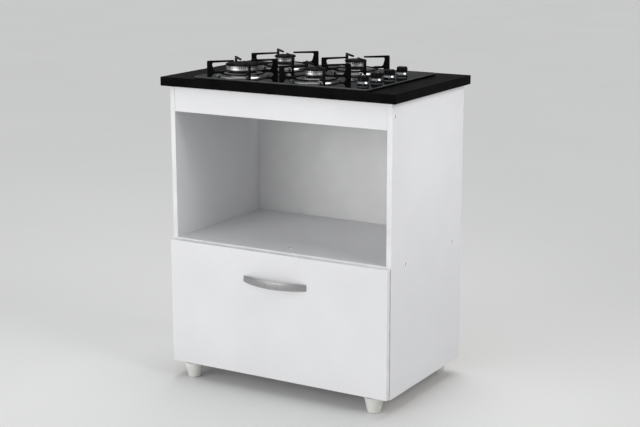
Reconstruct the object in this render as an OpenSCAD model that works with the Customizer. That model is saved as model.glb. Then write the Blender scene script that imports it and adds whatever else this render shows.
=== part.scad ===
// Cooktop base cabinet: an open oven bay over one deep drawer, with a gas cooktop let into the worktop.
// X runs right, Y to the back, Z up. The origin is on the floor, under the middle of the whole cabinet.
// Modules are written with y = 0 at the front edges of the side panels; placed() moves them to the origin.

/* [Carcass] */
// Width over the two side panels
carcass_w = 700; // [660:1:860]
// Depth of the side panels
carcass_d = 430; // [424:1:560]
// Height of the side panels
side_h = 800; // [740:1:900]
// Thickness of the board panels
panel_t = 15; // [14:0.5:18]
// Thickness of the hardboard backs
back_t = 3; // [2:0.5:6]
// Height of the drawer bay, from the underside of the carcass to the underside of the oven shelf
drawer_bay_h = 352; // [330:1:400]
// Height of the front fascia over the oven bay
fascia_h = 72; // [60:1:100]
// How far the fascia sits behind the front edges of the side panels
fascia_inset = 0.5; // [0:0.5:10]
// Height of the rail across the top of the back
rear_rail_h = 70; // [60:1:100]
// Height of the open strip for the gas hose under the rear rail
hose_gap_h = 60; // [40:1:90]
// Height of the batten that stiffens the oven shelf
batten_h = 40; // [38:1:50]
// Distance from the front edges to the batten
batten_y = 38; // [30:1:60]

/* [Feet] */
// Height of a foot
foot_h = 45; // [35:1:80]
// Diameter of a foot at the top
foot_top_d = 56; // [44:1:58]
// Diameter of a foot on the floor
foot_low_d = 36; // [28:1:40]
// Distance from the outside of a side panel to a foot's axis
foot_x = 54; // [46:1:80]
// Distance from the front edges to a front foot's axis
foot_front_y = 12; // [10:1:60]
// Distance from the back edges to a rear foot's axis
foot_back_y = 31; // [28:1:80]

/* [Worktop] */
// Thickness of the worktop
worktop_t = 25; // [18:1:40]
// Overhang of the worktop past each side panel
worktop_side = 18; // [5:1:30]
// Overhang of the worktop past the front edges
worktop_front = 20; // [18:1:30]
// Overhang of the worktop past the back edges of the side panels
worktop_back = 5; // [2:1:20]

/* [Drawer] */
// Thickness of the drawer front
front_t = 15; // [12:0.5:18]
// Gap between the drawer front and the carcass
front_gap = 2; // [1:0.5:4]
// How far the drawer front stops short of the outside of each side panel
front_inset = 2; // [0:0.5:4]
// Height of the drawer front's lower edge above the underside of the carcass
front_low = 3; // [1:0.5:8]
// Height of shelf edge left showing over the drawer front
shelf_show = 5; // [2:0.5:10]
// Thickness of the drawer's sides and back
drawer_t = 12; // [12:0.5:15]
// Height of the drawer's sides
drawer_h = 200; // [160:1:220]
// Gap between the drawer's sides and the back panel
drawer_back_gap = 36; // [32:1:72]
// Thickness of the drawer bottom
drawer_floor_t = 3; // [2.5:0.5:6]
// Height of the drawer sides' lower edges above the bottom panel
drawer_lift = 22; // [20:1:40]
// Height of the drawer bottom above the sides' lower edges
floor_lift = 16; // [15:0.5:24]
// Depth of the groove that takes the drawer bottom
groove_d = 6; // [4:0.5:7]

/* [Handle] */
// Length of the bow handle
handle_l = 204; // [180:1:240]
// How far the bow stands out from the drawer front
handle_proj = 26; // [22:1:40]
// Height of the handle's strip at its middle
handle_h = 22; // [16:1:26]
// How far each long edge of the strip draws in towards the ends
handle_taper = 2; // [0.5:0.5:3]
// Thickness of the handle's strip
handle_t = 3; // [2:0.5:5]
// Distance between the handle's screws
handle_pitch = 160; // [128:1:166]
// Distance from the drawer front's top edge down to the handle's middle
handle_drop = 82; // [40:1:110]

/* [Runners] */
// Gap between the drawer's side and the side panel, filled by a runner
runner_gap = 12.5; // [12.5:0.1:14]
// How much shorter a runner's rails are than the drawer's sides
rail_short = 6; // [4:1:50]
// Sheet thickness of the rails
rail_t = 1; // [0.8:0.1:1.2]
// Diameter of a roller
roller_d = 20; // [18:0.5:22]
// Diameter of a roller's axle
axle_d = 5; // [4:0.5:6]
// Clearance between a roller and the rail that runs over it
run_gap = 0.3; // [0.2:0.05:0.5]

/* [Cooktop] */
// Width of the glass
glass_w = 550; // [540:1:580]
// Depth of the glass
glass_d = 400; // [392:1:406]
// Thickness of the glass
glass_t = 5.5; // [4:0.5:8]
// Corner radius of the glass
glass_r = 10; // [4:1:20]
// Thickness of the foam seal under the glass
seal_t = 1.5; // [1:0.5:3]
// How far the glass reaches past the front edges of the side panels
glass_front = 10; // [6:1:14]
// How far the glass reaches past the burner box at the sides and the back
glass_overlap = 28; // [24:1:32]
// How far the middle of the cooktop lies right of the cabinet's middle
cooktop_x = 10; // [0:1:20]
// Gap between the fascia and the burner box
box_gap = 2; // [1:0.5:3]
// Depth of the burner box under the glass
box_h = 48; // [46:1:60]
// Gap between the burner box and the edge of the worktop's cut-out
cutout_gap = 5; // [3:0.5:8]
// Distance from the glass's left edge to the left burners
burner_side = 115; // [110:1:122]
// Distance between the left and right burners
burner_pitch_x = 232; // [226:1:240]
// Distance from the glass's front edge to the front burners
burner_front = 76; // [74:1:84]
// Distance from the rear burners to the glass's rear edge
burner_back = 102; // [98:1:110]
// Distance from the glass's right edge to the knobs' axes
knob_side = 57; // [54:1:68]

/* [Burners] */
// Diameter of the large burner's flame spreader
big_head_d = 88; // [80:1:90]
// Diameter of the small burners' flame spreaders
small_head_d = 56; // [50:1:64]
// Diameter of the large drip dish
big_dish_d = 146; // [130:1:146]
// Diameter of the small drip dishes
small_dish_d = 138; // [120:1:146]
// Height of the drip dishes' rims
dish_rim_h = 4; // [3:0.5:6]
// Height of the flame spreaders' undersides above the glass
head_z = 17; // [14:0.5:20]
// Height of a flame spreader
head_h = 13; // [11:0.5:16]
// Thickness of a burner cap
cap_t = 6; // [4:0.5:8]
// How far a burner cap reaches past its flame spreader
cap_over = 3; // [1:0.5:4]

/* [Pan supports] */
// Radius to the outside of a pan support's legs
support_r = 99; // [97:1:102]
// Height of the fingers' tops above the burner caps
pan_gap = 8; // [7:0.5:14]
// Thickness of a pan support's bars
bar_t = 5; // [4:0.5:7]
// Height of a pan support's fingers at the legs
finger_h = 6; // [4:0.5:6.5]
// Height of a pan support's fingers at their tips
finger_tip_h = 4.5; // [2.5:0.5:5.5]
// Radius left open between the fingers
finger_r = 24; // [15:1:36]
// Width of a leg
leg_w = 13; // [10:0.5:16]
// Radius of the ring that joins the legs
ring_r = 60; // [58:1:68]
// Height of the ring above the glass
ring_z = 6.5; // [6.5:0.5:16]
// Height of the ring's section
ring_h = 4; // [3:0.5:6]
// Height of the ties that join the legs to the ring
tie_h = 6.5; // [4:0.5:7]

/* [Knobs] */
// Diameter of a knob's skirt
knob_d = 36; // [32:1:44]
// Diameter of a knob's grip
grip_d = 31; // [24:1:32]
// Height of a knob
knob_h = 21; // [18:1:26]
// How far a knob presses in
knob_push = 2.5; // [2:0.5:4]

/* [Fasteners] */
// Diameter of the long panel screws
long_d = 5; // [4:0.5:6]
// Length of the long panel screws
long_l = 50; // [44:1:52]
// Diameter of the short wood screws
short_d = 3.5; // [3:0.25:4]
// Length of the short wood screws
short_l = 12; // [10:0.5:12]
// Diameter of the dowels
dowel_d = 8; // [6:1:9]
// Diameter of the screw caps
cap_d = 14; // [10:0.5:16]
// Leg of the angle brackets
bracket_leg = 16; // [15:0.5:18]
// Distance from the front edges to the front screws of the oven shelf
shelf_screw_front = 75; // [60:1:100]
// Distance from the back edges to the back screws of the oven shelf
shelf_screw_back = 69; // [50:1:100]
// Distance of the batten's screw right of the middle
batten_screw_x = 15; // [-60:1:60]
// Clearance round screws, dowels, axles and spindles
fit = 0.05; // [0.03:0.01:0.08]

/* [Hidden] */
$fn = 64;

board = "#e4e4e6";
black = "#161616";
steel = "#a9abad";
zinc = "#8f9294";
plastic = "#ececea";
hardboard = "#e9e7e2";
brass = "#b08d4a";
nick = 0.3;         // spare depth at the end of a blind hole
over = 1;           // how far a cut runs past the face it opens

// Places of the whole cabinet
front_y = front_gap + front_t;
whole_front = max(front_y + handle_proj, worktop_front);
whole_back = carcass_d + max(worktop_back, back_t);
origin_y = whole_front - (whole_front + whole_back) / 2;
bottom_z = foot_h;
top_z = foot_h + side_h;
floor_z = bottom_z + panel_t;
half_w = carcass_w / 2;
half_in = half_w - panel_t;
shelf_low = bottom_z + drawer_bay_h;
shelf_top = shelf_low + panel_t;
fascia_low = top_z - fascia_h;
rail_low = top_z - rear_rail_h;

// Drawer and runners
box_z = floor_z + drawer_lift;
half_box = half_in - runner_gap;
drawer_l = carcass_d - drawer_back_gap + front_gap;
box_end = drawer_l - front_gap;
drawer_inner = half_box - drawer_t;
front_top = shelf_top - shelf_show;
handle_z = front_top - handle_drop;
handle_r = (pow(handle_l / 2, 2) + pow(handle_proj, 2)) / (2 * handle_proj);
handle_cy = handle_r - handle_proj - front_y;
boss_d = 10;
handle_bore = 4.1;
handle_hole_l = 8;
rail_y = 6;
rail_l = drawer_l - rail_short;
roller_end = 14;
roller_z = box_z + roller_d / 2 + run_gap + rail_t + fit;
track_z = roller_z + roller_d / 2 + run_gap;
web_in = half_box + rail_t;
web_out = half_in - rail_t;
lip_gap = 0.8;
roller_side = 1;
axle_head_t = 1;
axle_play = 0.2;
roller_w = web_out - web_in - 2 * roller_side - axle_head_t - axle_play - lip_gap;
axle_l = roller_side + roller_w + axle_play;
axle_head_d = axle_d + 3;
flange_gap = 0.6;

// Cooktop
seal_z = top_z + worktop_t;
glass_low = seal_z + seal_t;
glass_top = glass_low + glass_t;
box_w = glass_w - 2 * glass_overlap;
box_y = fascia_inset + panel_t + box_gap;
box_d = glass_d - glass_front - glass_overlap - box_y;
cook_y = glass_d / 2 - glass_front;
box_low = glass_low - box_h;
sheet_t = 1;
left_x = cooktop_x - glass_w / 2 + burner_side;
right_x = left_x + burner_pitch_x;
near_y = burner_front - glass_front;
burner_pitch_y = glass_d - burner_front - burner_back;
far_y = near_y + burner_pitch_y;
support_h = head_z + head_h + cap_t + pan_gap;
big_r = big_head_d / 2;
small_r = small_head_d / 2;
// Each burner: x, y, radius of its flame spreader, radius of its dish
burners = [
    [left_x, near_y, big_r, big_dish_d / 2],
    [right_x, near_y, small_r, small_dish_d / 2],
    [left_x, far_y, small_r, small_dish_d / 2],
    [right_x, far_y, small_r, small_dish_d / 2]
];
// Row of each burner's knob, counted from the front
knob_row = [1, 0, 2, 3];
knob_x = cooktop_x + glass_w / 2 - knob_side;
function knob_y(i) = near_y + knob_row[i] * burner_pitch_y / 3;
dish_t = 0.8;
neck_in = 5;
cup_wall = 6;
cup_drop = glass_t + 26;
neck_step = 3;
collar_h = 9;
igniter_d = 5;
igniter_off = 7;
pipe_d = 6;
pipe_z = glass_low - 16;
pipe_seat = 4;
tap_w = 22;
tap_top = glass_low - 6;
tube_d = 14;
tube_z = box_low + sheet_t + tube_d / 2 + 3;
plug_d = 13;
plug_l = 20;
plug_rise = 2;
spindle_d = 6;
spindle_flat = 2;
socket_l = 15;
knob_gap = knob_push + 0.5;
knob_z = glass_top + knob_gap;
skirt_h = 6;
knob_hole_d = 14;
inlet_d = 21;
inlet_l = 15;
collar_d = 28;
collar_t = 3;
inlet_y = knob_y(3) + tap_w / 2 + collar_d / 2 + 2;

// Fasteners
long_head_d = long_d + 2.5;
long_head_t = 3;
short_head_d = short_d * 2;
short_head_t = 1.4;
dowel_l = 30;
dowel_in = 10.5;
dowel_inset = 70;
cap_high = 1.8;
bracket_t = 1.5;
bracket_w = 18;
bracket_hole = bracket_leg * 0.58;
bracket_inset = 100;
bracket_ys = [bracket_inset, carcass_d - bracket_inset];
bracket_x = 150;
nail_d = 1.6;
nail_l = 18;
nail_head_d = 4.5;
nail_head_t = 0.6;
nail_step = 110;
nail_inset = 42;
foot_web = 4;
foot_bore_d = 14;
hanger_w = 20;
hanger_l = 26;
hanger_t = 1.5;

module placed(paint) {
    translate([0, origin_y, 0]) color(paint) children();
}

// A block from one corner to the opposite one
module block(low, high) {
    translate(low) cube(high - low);
}

module both_sides() {
    children();
    mirror([1, 0, 0]) children();
}

// Long panel screw that starts at the origin with its head's face and runs along -X
module long_screw(extra = 0, spare = 0) {
    rotate([0, -90, 0]) {
        cylinder(d = long_head_d + 2 * extra, h = long_head_t + extra);
        cylinder(d = long_d + 2 * extra, h = long_l + spare);
    }
}

module at_side_screws() {
    shelf_mid = shelf_low + panel_t / 2;
    both_sides() {
        translate([half_w, shelf_screw_front, shelf_mid]) children();
        translate([half_w, carcass_d - shelf_screw_back, shelf_mid]) children();
        translate([half_w, fascia_inset + panel_t / 2, top_z - fascia_h / 2]) children();
    }
}

module at_batten_screw() {
    translate([batten_screw_x, batten_y + panel_t / 2, shelf_top]) rotate([0, -90, 0]) children();
}

// Short wood screw: its head stands on z = 0 and its shank runs down
module short_screw() {
    cylinder(d = short_head_d, h = short_head_t);
    mirror([0, 0, 1]) cylinder(d = short_d, h = short_l);
}

module short_hole() {
    translate([0, 0, -short_l - nick]) cylinder(d = short_d + 2 * fit, h = short_l + nick + over);
}

// Dowel along X, centred on the face between two panels
module dowel(extra = 0, spare = 0) {
    translate([dowel_in + spare, 0, 0]) rotate([0, -90, 0])
        cylinder(d = dowel_d + 2 * extra, h = dowel_l + 2 * spare);
}

module at_dowels() {
    mid_y = carcass_d / 2;
    both_sides() {
        for (y = [dowel_inset, mid_y, carcass_d - dowel_inset])
            translate([half_in, y, bottom_z + panel_t / 2]) children();
        translate([half_in, mid_y, shelf_low + panel_t / 2]) children();
        translate([half_in, batten_y + panel_t / 2, shelf_low - batten_h / 2]) children();
        for (z = [fascia_low + 15, top_z - 15])
            translate([half_in, fascia_inset + panel_t / 2, z]) children();
        for (z = [rail_low + 18, top_z - 18])
            translate([half_in, carcass_d - panel_t / 2, z]) children();
    }
}

// Angle bracket: its outer faces are x = 0 and z = 0, its legs run along -X and -Z
module angle_bracket() {
    difference() {
        translate([-bracket_leg, -bracket_w / 2, -bracket_leg])
            cube([bracket_leg, bracket_w, bracket_leg]);
        translate([-bracket_leg - over, -bracket_w, -bracket_leg - over])
            cube([bracket_leg - bracket_t + over, 2 * bracket_w, bracket_leg - bracket_t + over]);
        at_bracket_screws() short_hole();
    }
}

// The two screws of a bracket, one up through its flat leg and one out through its upright leg
module at_bracket_screws() {
    translate([-bracket_hole, 0, -bracket_t]) mirror([0, 0, 1]) children();
    translate([-bracket_t, 0, -bracket_hole]) rotate([0, -90, 0]) children();
}

module at_brackets() {
    both_sides() {
        for (y = bracket_ys) {
            translate([half_in, y, top_z]) children();
            translate([half_in, y, floor_z]) mirror([0, 0, 1]) children();
        }
    }
    for (x = [-bracket_x, bracket_x])
        translate([x, carcass_d - panel_t, top_z]) rotate([0, 0, 90]) children();
}

module at_feet() {
    both_sides() {
        translate([half_w - foot_x, foot_front_y, 0]) children();
        translate([half_w - foot_x, carcass_d - foot_back_y, 0]) children();
    }
}

module at_rail_screws() {
    both_sides() {
        for (part = [0.2, 0.5, 0.8])
            translate([web_out, rail_y + part * rail_l, roller_z]) rotate([0, -90, 0]) children();
    }
}

module at_wood_screws() {
    at_brackets() at_bracket_screws() children();
    at_feet() translate([0, 0, foot_h - foot_web]) mirror([0, 0, 1]) children();
    at_rail_screws() children();
}

// Nail along -Y, with its head standing on the back panel
module nail(extra = 0, spare = 0) {
    rotate([90, 0, 0]) cylinder(d = nail_d + 2 * extra, h = nail_l + spare);
    rotate([-90, 0, 0]) cylinder(d = nail_head_d, h = nail_head_t);
}

module at_nails() {
    back_face = carcass_d + back_t;
    side_x = half_w - panel_t / 2;
    lower_low = bottom_z + nail_inset;
    lower_n = floor((drawer_bay_h - 1.5 * nail_inset) / nail_step);
    upper_low = shelf_top + nail_inset;
    upper_n = floor((rail_low - hose_gap_h - 0.75 * nail_inset - upper_low) / nail_step);
    both_sides() {
        for (i = [0:lower_n])
            translate([side_x, back_face, lower_low + i * nail_step]) children();
        for (i = [0:upper_n])
            translate([side_x, back_face, upper_low + i * nail_step]) children();
        translate([nail_step, back_face, bottom_z + panel_t / 2]) children();
        translate([nail_step, back_face, shelf_low + panel_t * 0.25]) children();
        translate([nail_step, back_face, shelf_low + panel_t * 0.75]) children();
    }
}

// Everything that is drilled into the carcass panels
module carcass_holes() {
    at_side_screws() long_screw(fit, nick);
    at_batten_screw() long_screw(fit, nick);
    at_dowels() dowel(fit, nick);
    at_wood_screws() short_hole();
    at_nails() nail(fit, nick);
}

module right_side() {
    difference() {
        block([half_in, 0, bottom_z], [half_w, carcass_d, top_z]);
        carcass_holes();
    }
}

module left_side_panel() {
    placed(board) mirror([1, 0, 0]) right_side();
}

module right_side_panel() {
    placed(board) right_side();
}

module bottom_panel() {
    placed(board) difference() {
        block([-half_in, 0, bottom_z], [half_in, carcass_d, floor_z]);
        carcass_holes();
    }
}

module oven_shelf() {
    placed(board) difference() {
        block([-half_in, 0, shelf_low], [half_in, carcass_d, shelf_top]);
        carcass_holes();
    }
}

module shelf_batten() {
    placed(board) difference() {
        block([-half_in, batten_y, shelf_low - batten_h], [half_in, batten_y + panel_t, shelf_low]);
        carcass_holes();
    }
}

module front_fascia() {
    placed(board) difference() {
        block([-half_in, fascia_inset, fascia_low], [half_in, fascia_inset + panel_t, top_z]);
        carcass_holes();
    }
}

module rear_top_rail() {
    placed(board) difference() {
        block([-half_in, carcass_d - panel_t, rail_low], [half_in, carcass_d, top_z]);
        carcass_holes();
    }
}

// The two hardboard backs meet behind the middle of the oven shelf
back_edge = 2;
back_seam = 0.5;
back_half_w = half_w - back_edge;

module lower_back_panel() {
    placed(hardboard) difference() {
        block([-back_half_w, carcass_d, bottom_z + back_edge],
            [back_half_w, carcass_d + back_t, shelf_low + panel_t / 2 - back_seam / 2]);
        at_nails() nail(fit);
    }
}

module upper_back_panel() {
    placed(hardboard) difference() {
        block([-back_half_w, carcass_d, shelf_low + panel_t / 2 + back_seam / 2],
            [back_half_w, carcass_d + back_t, rail_low - hose_gap_h]);
        at_nails() nail(fit);
    }
}

module worktop() {
    placed(black) difference() {
        block([-half_w - worktop_side, -worktop_front, top_z],
            [half_w + worktop_side, carcass_d + worktop_back, seal_z]);
        block([cooktop_x - box_w / 2 - cutout_gap, box_y - cutout_gap, top_z - over],
            [cooktop_x + box_w / 2 + cutout_gap, box_y + box_d + cutout_gap, seal_z + over]);
        at_brackets() at_bracket_screws() short_hole();
    }
}

module angle_brackets() {
    placed(zinc) at_brackets() angle_bracket();
}

module wood_screws() {
    placed(zinc) at_wood_screws() short_screw();
}

module panel_screws() {
    placed(zinc) {
        at_side_screws() long_screw();
        at_batten_screw() long_screw();
    }
}

module panel_dowels() {
    placed("#c9a878") at_dowels() dowel();
}

module cap() {
    rotate([0, 90, 0]) cylinder(d1 = cap_d, d2 = cap_d * 0.86, h = cap_high);
}

module screw_caps() {
    placed(plastic) {
        at_side_screws() cap();
        at_batten_screw() cap();
    }
}

module back_nails() {
    placed(zinc) at_nails() nail();
}

// Foot: a tapered cup with a rounded lower edge, screwed up through its web
module foot() {
    edge = 4;
    top_r = foot_top_d / 2;
    low_r = foot_low_d / 2;
    difference() {
        rotate_extrude()
            polygon([
                [0, 0], [low_r - edge, 0],
                for (a = [15:15:75]) [low_r - edge + edge * sin(a), edge - edge * cos(a)],
                [low_r, edge], [top_r - 1.5, foot_h - 6], [top_r, foot_h - 2], [top_r, foot_h], [0, foot_h]
            ]);
        translate([0, 0, -over]) cylinder(d = foot_bore_d, h = foot_h - foot_web + over);
        cylinder(d = short_d + 2 * fit, h = foot_h + over);
    }
}

module feet() {
    placed(plastic) at_feet() foot();
}

module at_drawer_brackets() {
    both_sides() {
        for (part = [0.3, 0.75]) {
            z = box_z + part * drawer_h;
            translate([drawer_inner, -front_gap, z]) rotate([90, 0, 0]) children();
            translate([drawer_inner, box_end - drawer_t, z]) rotate([-90, 0, 0]) children();
        }
    }
}

module at_drawer_rail_screws() {
    both_sides() {
        for (part = [0.15, 0.5, 0.8])
            translate([web_in, rail_y + part * rail_l, roller_z]) rotate([0, 90, 0]) children();
    }
}

module at_drawer_screws() {
    at_drawer_brackets() at_bracket_screws() children();
    at_drawer_rail_screws() children();
}

module at_handle_screws() {
    for (x = [-handle_pitch / 2, handle_pitch / 2])
        translate([x, 0, handle_z]) children();
}

// The hardboard bottom of the drawer, or with room round it the groove that it lies in
module drawer_floor(room = 0) {
    reach = groove_d - nick;
    low = box_z + floor_lift;
    block([-drawer_inner - reach - room, -front_gap - reach - room, low - room / 3],
        [drawer_inner + reach + room, box_end, low + drawer_floor_t + room / 3]);
}

module drawer_front() {
    placed(board) difference() {
        block([-half_w + front_inset, -front_y, bottom_z + front_low],
            [half_w - front_inset, -front_gap, front_top]);
        drawer_floor(nick);
        at_drawer_screws() short_hole();
        at_handle_screws() rotate([90, 0, 0]) cylinder(d = handle_bore + 0.4, h = front_y + over);
    }
}

module right_drawer_side() {
    difference() {
        block([drawer_inner, -front_gap, box_z], [half_box, box_end, box_z + drawer_h]);
        translate([0, over, 0]) drawer_floor(nick);
        drawer_floor(nick);
        at_drawer_screws() short_hole();
    }
}

module drawer_left_side() {
    placed(board) mirror([1, 0, 0]) right_drawer_side();
}

module drawer_right_side() {
    placed(board) right_drawer_side();
}

module drawer_back() {
    placed(board) difference() {
        block([-drawer_inner, box_end - drawer_t, box_z + floor_lift + drawer_floor_t],
            [drawer_inner, box_end, box_z + drawer_h]);
        at_drawer_screws() short_hole();
    }
}

module drawer_bottom() {
    placed(hardboard) drawer_floor();
}

module drawer_brackets() {
    placed(zinc) at_drawer_brackets() angle_bracket();
}

module drawer_wood_screws() {
    placed(zinc) at_drawer_screws() short_screw();
}

// Large disc whose rim is one long edge of the handle's strip
// Front outline of the handle's strip, which narrows towards its ends
module handle_outline() {
    steps = 12;
    top = [for (i = [-steps:steps])
        [handle_l / 2 * i / steps, handle_h / 2 - handle_taper * pow(i / steps, 2)]];
    low = [for (i = [2 * steps:-1:0]) [top[i][0], -top[i][1]]];
    polygon(concat(top, low));
}

// Bow handle: a strip bent to an arc, its ends on the drawer front, with two bosses for its screws
module handle() {
    placed(steel) difference() {
        intersection() {
            union() {
                translate([0, handle_cy, handle_z - handle_h / 2]) difference() {
                    cylinder(r = handle_r, h = handle_h, $fn = 180);
                    translate([0, 0, -over])
                        cylinder(r = handle_r - handle_t, h = handle_h + 2 * over, $fn = 180);
                }
                at_handle_screws() translate([0, -front_y, 0]) rotate([90, 0, 0])
                    cylinder(d = boss_d, h = handle_hole_l + 1);
            }
            translate([0, -front_y, handle_z]) rotate([90, 0, 0])
                linear_extrude(height = whole_front) handle_outline();
        }
        at_handle_screws() translate([0, -front_y + over, 0]) rotate([90, 0, 0])
            cylinder(d = handle_bore, h = handle_hole_l + over);
    }
}

module handle_screws() {
    shank = handle_bore - 2 * fit;
    placed(zinc) at_handle_screws() translate([0, -front_gap, 0]) {
        rotate([90, 0, 0]) cylinder(d = shank, h = front_t + handle_hole_l - nick);
        rotate([-90, 0, 0]) cylinder(d = 2 * shank, h = 0.6 * shank);
    }
}

// Axle along X with a rivet head at its far end
module axle() {
    rotate([0, 90, 0]) {
        cylinder(d = axle_d, h = axle_l + axle_head_t);
        translate([0, 0, axle_l]) cylinder(d = axle_head_d, h = axle_head_t);
    }
}

front_roller_y = rail_y + roller_end;
rear_roller_y = rail_y + rail_l - roller_end;

// Rail on the side panel: a channel open towards the drawer, with the front roller's axle
module right_outer_rail() {
    low_top = roller_z - roller_d / 2 - run_gap;
    high_low = track_z + rail_t + run_gap;
    difference() {
        union() {
            block([web_out, rail_y, low_top - rail_t], [half_in, rail_y + rail_l, high_low + rail_t]);
            block([web_in + flange_gap, rail_y, low_top - rail_t], [half_in, rail_y + rail_l, low_top]);
            block([web_in + 2 * flange_gap, rail_y, high_low],
                [half_in, rail_y + rail_l, high_low + rail_t]);
            translate([web_out, front_roller_y, roller_z]) mirror([1, 0, 0]) axle();
        }
        at_rail_screws() short_hole();
    }
}

// Rail on the drawer: it wraps the side's lower edge, runs over the front roller and holds the rear axle
module right_inner_rail() {
    difference() {
        union() {
            block([half_box, rail_y, box_z - rail_t], [web_in, rail_y + rail_l, track_z + rail_t]);
            block([drawer_inner, rail_y, box_z - rail_t], [web_in, rail_y + rail_l, box_z]);
            block([half_box, rail_y, track_z],
                [web_out - flange_gap, rail_y + rail_l, track_z + rail_t]);
            translate([web_in, rear_roller_y, roller_z]) axle();
        }
        at_drawer_rail_screws() short_hole();
    }
}

module left_cabinet_rail() {
    placed(plastic) mirror([1, 0, 0]) right_outer_rail();
}

module right_cabinet_rail() {
    placed(plastic) right_outer_rail();
}

module left_drawer_rail() {
    placed(plastic) mirror([1, 0, 0]) right_inner_rail();
}

module right_drawer_rail() {
    placed(plastic) right_inner_rail();
}

module roller() {
    edge = 0.6;
    rotate([0, 90, 0]) difference() {
        rotate_extrude()
            polygon([
                [0, 0], [roller_d / 2 - edge, 0], [roller_d / 2, edge],
                [roller_d / 2, roller_w - edge], [roller_d / 2 - edge, roller_w], [0, roller_w]
            ]);
        translate([0, 0, -over]) cylinder(d = axle_d + 2 * fit, h = roller_w + 2 * over);
    }
}

module front_roller() {
    translate([web_out - roller_side - roller_w, front_roller_y, roller_z]) roller();
}

module rear_roller() {
    translate([web_in + roller_side, rear_roller_y, roller_z]) roller();
}

module front_left_roller() {
    placed(plastic) mirror([1, 0, 0]) front_roller();
}

module front_right_roller() {
    placed(plastic) front_roller();
}

module rear_left_roller() {
    placed(plastic) mirror([1, 0, 0]) rear_roller();
}

module rear_right_roller() {
    placed(plastic) rear_roller();
}

// Rounded rectangle, centred on the cooktop
module glass_outline() {
    translate([cooktop_x, cook_y]) {
        square([glass_w - 2 * glass_r, glass_d], center = true);
        square([glass_w, glass_d - 2 * glass_r], center = true);
        for (x = [-1, 1], y = [-1, 1])
            translate([x * (glass_w / 2 - glass_r), y * (glass_d / 2 - glass_r)]) circle(r = glass_r);
    }
}

module at_burner(b) {
    translate([b[0], b[1], glass_top]) children();
}

module at_igniter(b) {
    at_burner(b) translate([0, b[2] + igniter_off, 0]) children();
}

module cooktop_glass() {
    placed(black) difference() {
        translate([0, 0, glass_low]) linear_extrude(height = glass_t) glass_outline();
        for (b = burners) {
            at_burner(b) translate([0, 0, -glass_t - over])
                cylinder(r = b[2] - neck_in + 2, h = glass_t + 2 * over);
            at_igniter(b) translate([0, 0, -glass_t - over])
                cylinder(d = igniter_d + 2 * fit, h = glass_t + 2 * over);
        }
        for (i = [0:3])
            translate([knob_x, knob_y(i), glass_low - over])
                cylinder(d = knob_hole_d, h = glass_t + 2 * over);
    }
}

module glass_seal() {
    room = cutout_gap + 1;
    edge = 4;
    reach = glass_w / 2 - edge;
    placed("#2a2a2a") difference() {
        block([cooktop_x - reach, edge - glass_front, seal_z],
            [cooktop_x + reach, glass_d - glass_front - edge, glass_low]);
        block([cooktop_x - box_w / 2 - room, box_y - room, seal_z - over],
            [cooktop_x + box_w / 2 + room, box_y + box_d + room, glass_low + over]);
    }
}

// Folded steel box under the glass
module burner_box() {
    low = [cooktop_x - box_w / 2, box_y, box_low];
    high = [cooktop_x + box_w / 2, box_y + box_d, glass_low];
    wall = [sheet_t, sheet_t, sheet_t];
    placed(zinc) difference() {
        block(low, high);
        block(low + wall, [high[0] - sheet_t, high[1] - sheet_t, high[2] + over]);
        translate([knob_x, inlet_y, box_low - over]) cylinder(d = inlet_d, h = sheet_t + 2 * over);
    }
}

// Hanger: it hooks the side of the burner box and bears on the worktop's underside
module hanger() {
    translate([0, -hanger_w / 2, 0]) {
        block([0, 0, top_z - hanger_w * 0.8], [hanger_t, hanger_w, top_z]);
        block([0, 0, top_z - hanger_t], [hanger_l, hanger_w, top_z]);
    }
}

module cooktop_clamps() {
    placed(zinc) translate([cooktop_x, box_y + box_d / 2, 0]) both_sides()
        for (y = [-box_d / 4, box_d / 4]) translate([box_w / 2, y, 0]) hanger();
}

// Pressed dish with a step and a raised rim, seated between the glass and the burner cup's collar
module dish(head_r, out_r) {
    in_r = head_r - neck_in + 2;
    bead = 7;
    slope = 5;
    step_h = 1.4;
    step_w = 1.5;
    foot_r = out_r - bead - slope;
    step_r = (head_r + 3 + foot_r) / 2;
    rotate_extrude($fn = 96)
        polygon([
            [in_r, 0], [step_r, 0], [step_r + step_w, step_h], [foot_r, step_h],
            [out_r - bead + 0.5, dish_rim_h - dish_t],
            [out_r - 2.2, dish_rim_h - dish_t], [out_r - dish_t, 0], [out_r, 0],
            [out_r - 1.4, dish_rim_h], [out_r - bead, dish_rim_h],
            [foot_r, dish_t + step_h], [step_r + step_w, dish_t + step_h], [step_r, dish_t], [in_r, dish_t]
        ]);
}

module drip_dishes() {
    placed(steel) for (b = burners)
        difference() {
            at_burner(b) dish(b[2], b[3]);
            at_igniter(b) translate([0, 0, -over])
                cylinder(d = igniter_d + 2 * fit, h = dish_rim_h + 2 * over);
        }
}

// Burner cup: it hangs in the glass by its collar and carries the flame spreader on a narrow neck
module burner_cup(head_r) {
    cup_r = head_r - neck_in;
    neck_r = cup_r - neck_step;
    collar_r = head_r + 3;
    collar_top = dish_t + collar_h;
    hole_r = 6;
    low = -cup_drop;
    rotate_extrude()
        polygon([
            [hole_r, low], [cup_r, low], [cup_r, dish_t], [collar_r, dish_t],
            [collar_r, collar_top - 3], [collar_r - 2, collar_top], [neck_r, collar_top], [neck_r, head_z],
            [cup_r - cup_wall, head_z], [cup_r - cup_wall, low + cup_wall], [hole_r, low + cup_wall]
        ]);
}

module burner_cups() {
    placed(steel) difference() {
        for (b = burners) at_burner(b) burner_cup(b[2]);
        for (i = [0:3]) gas_pipe(i, fit, nick);
    }
}

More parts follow.
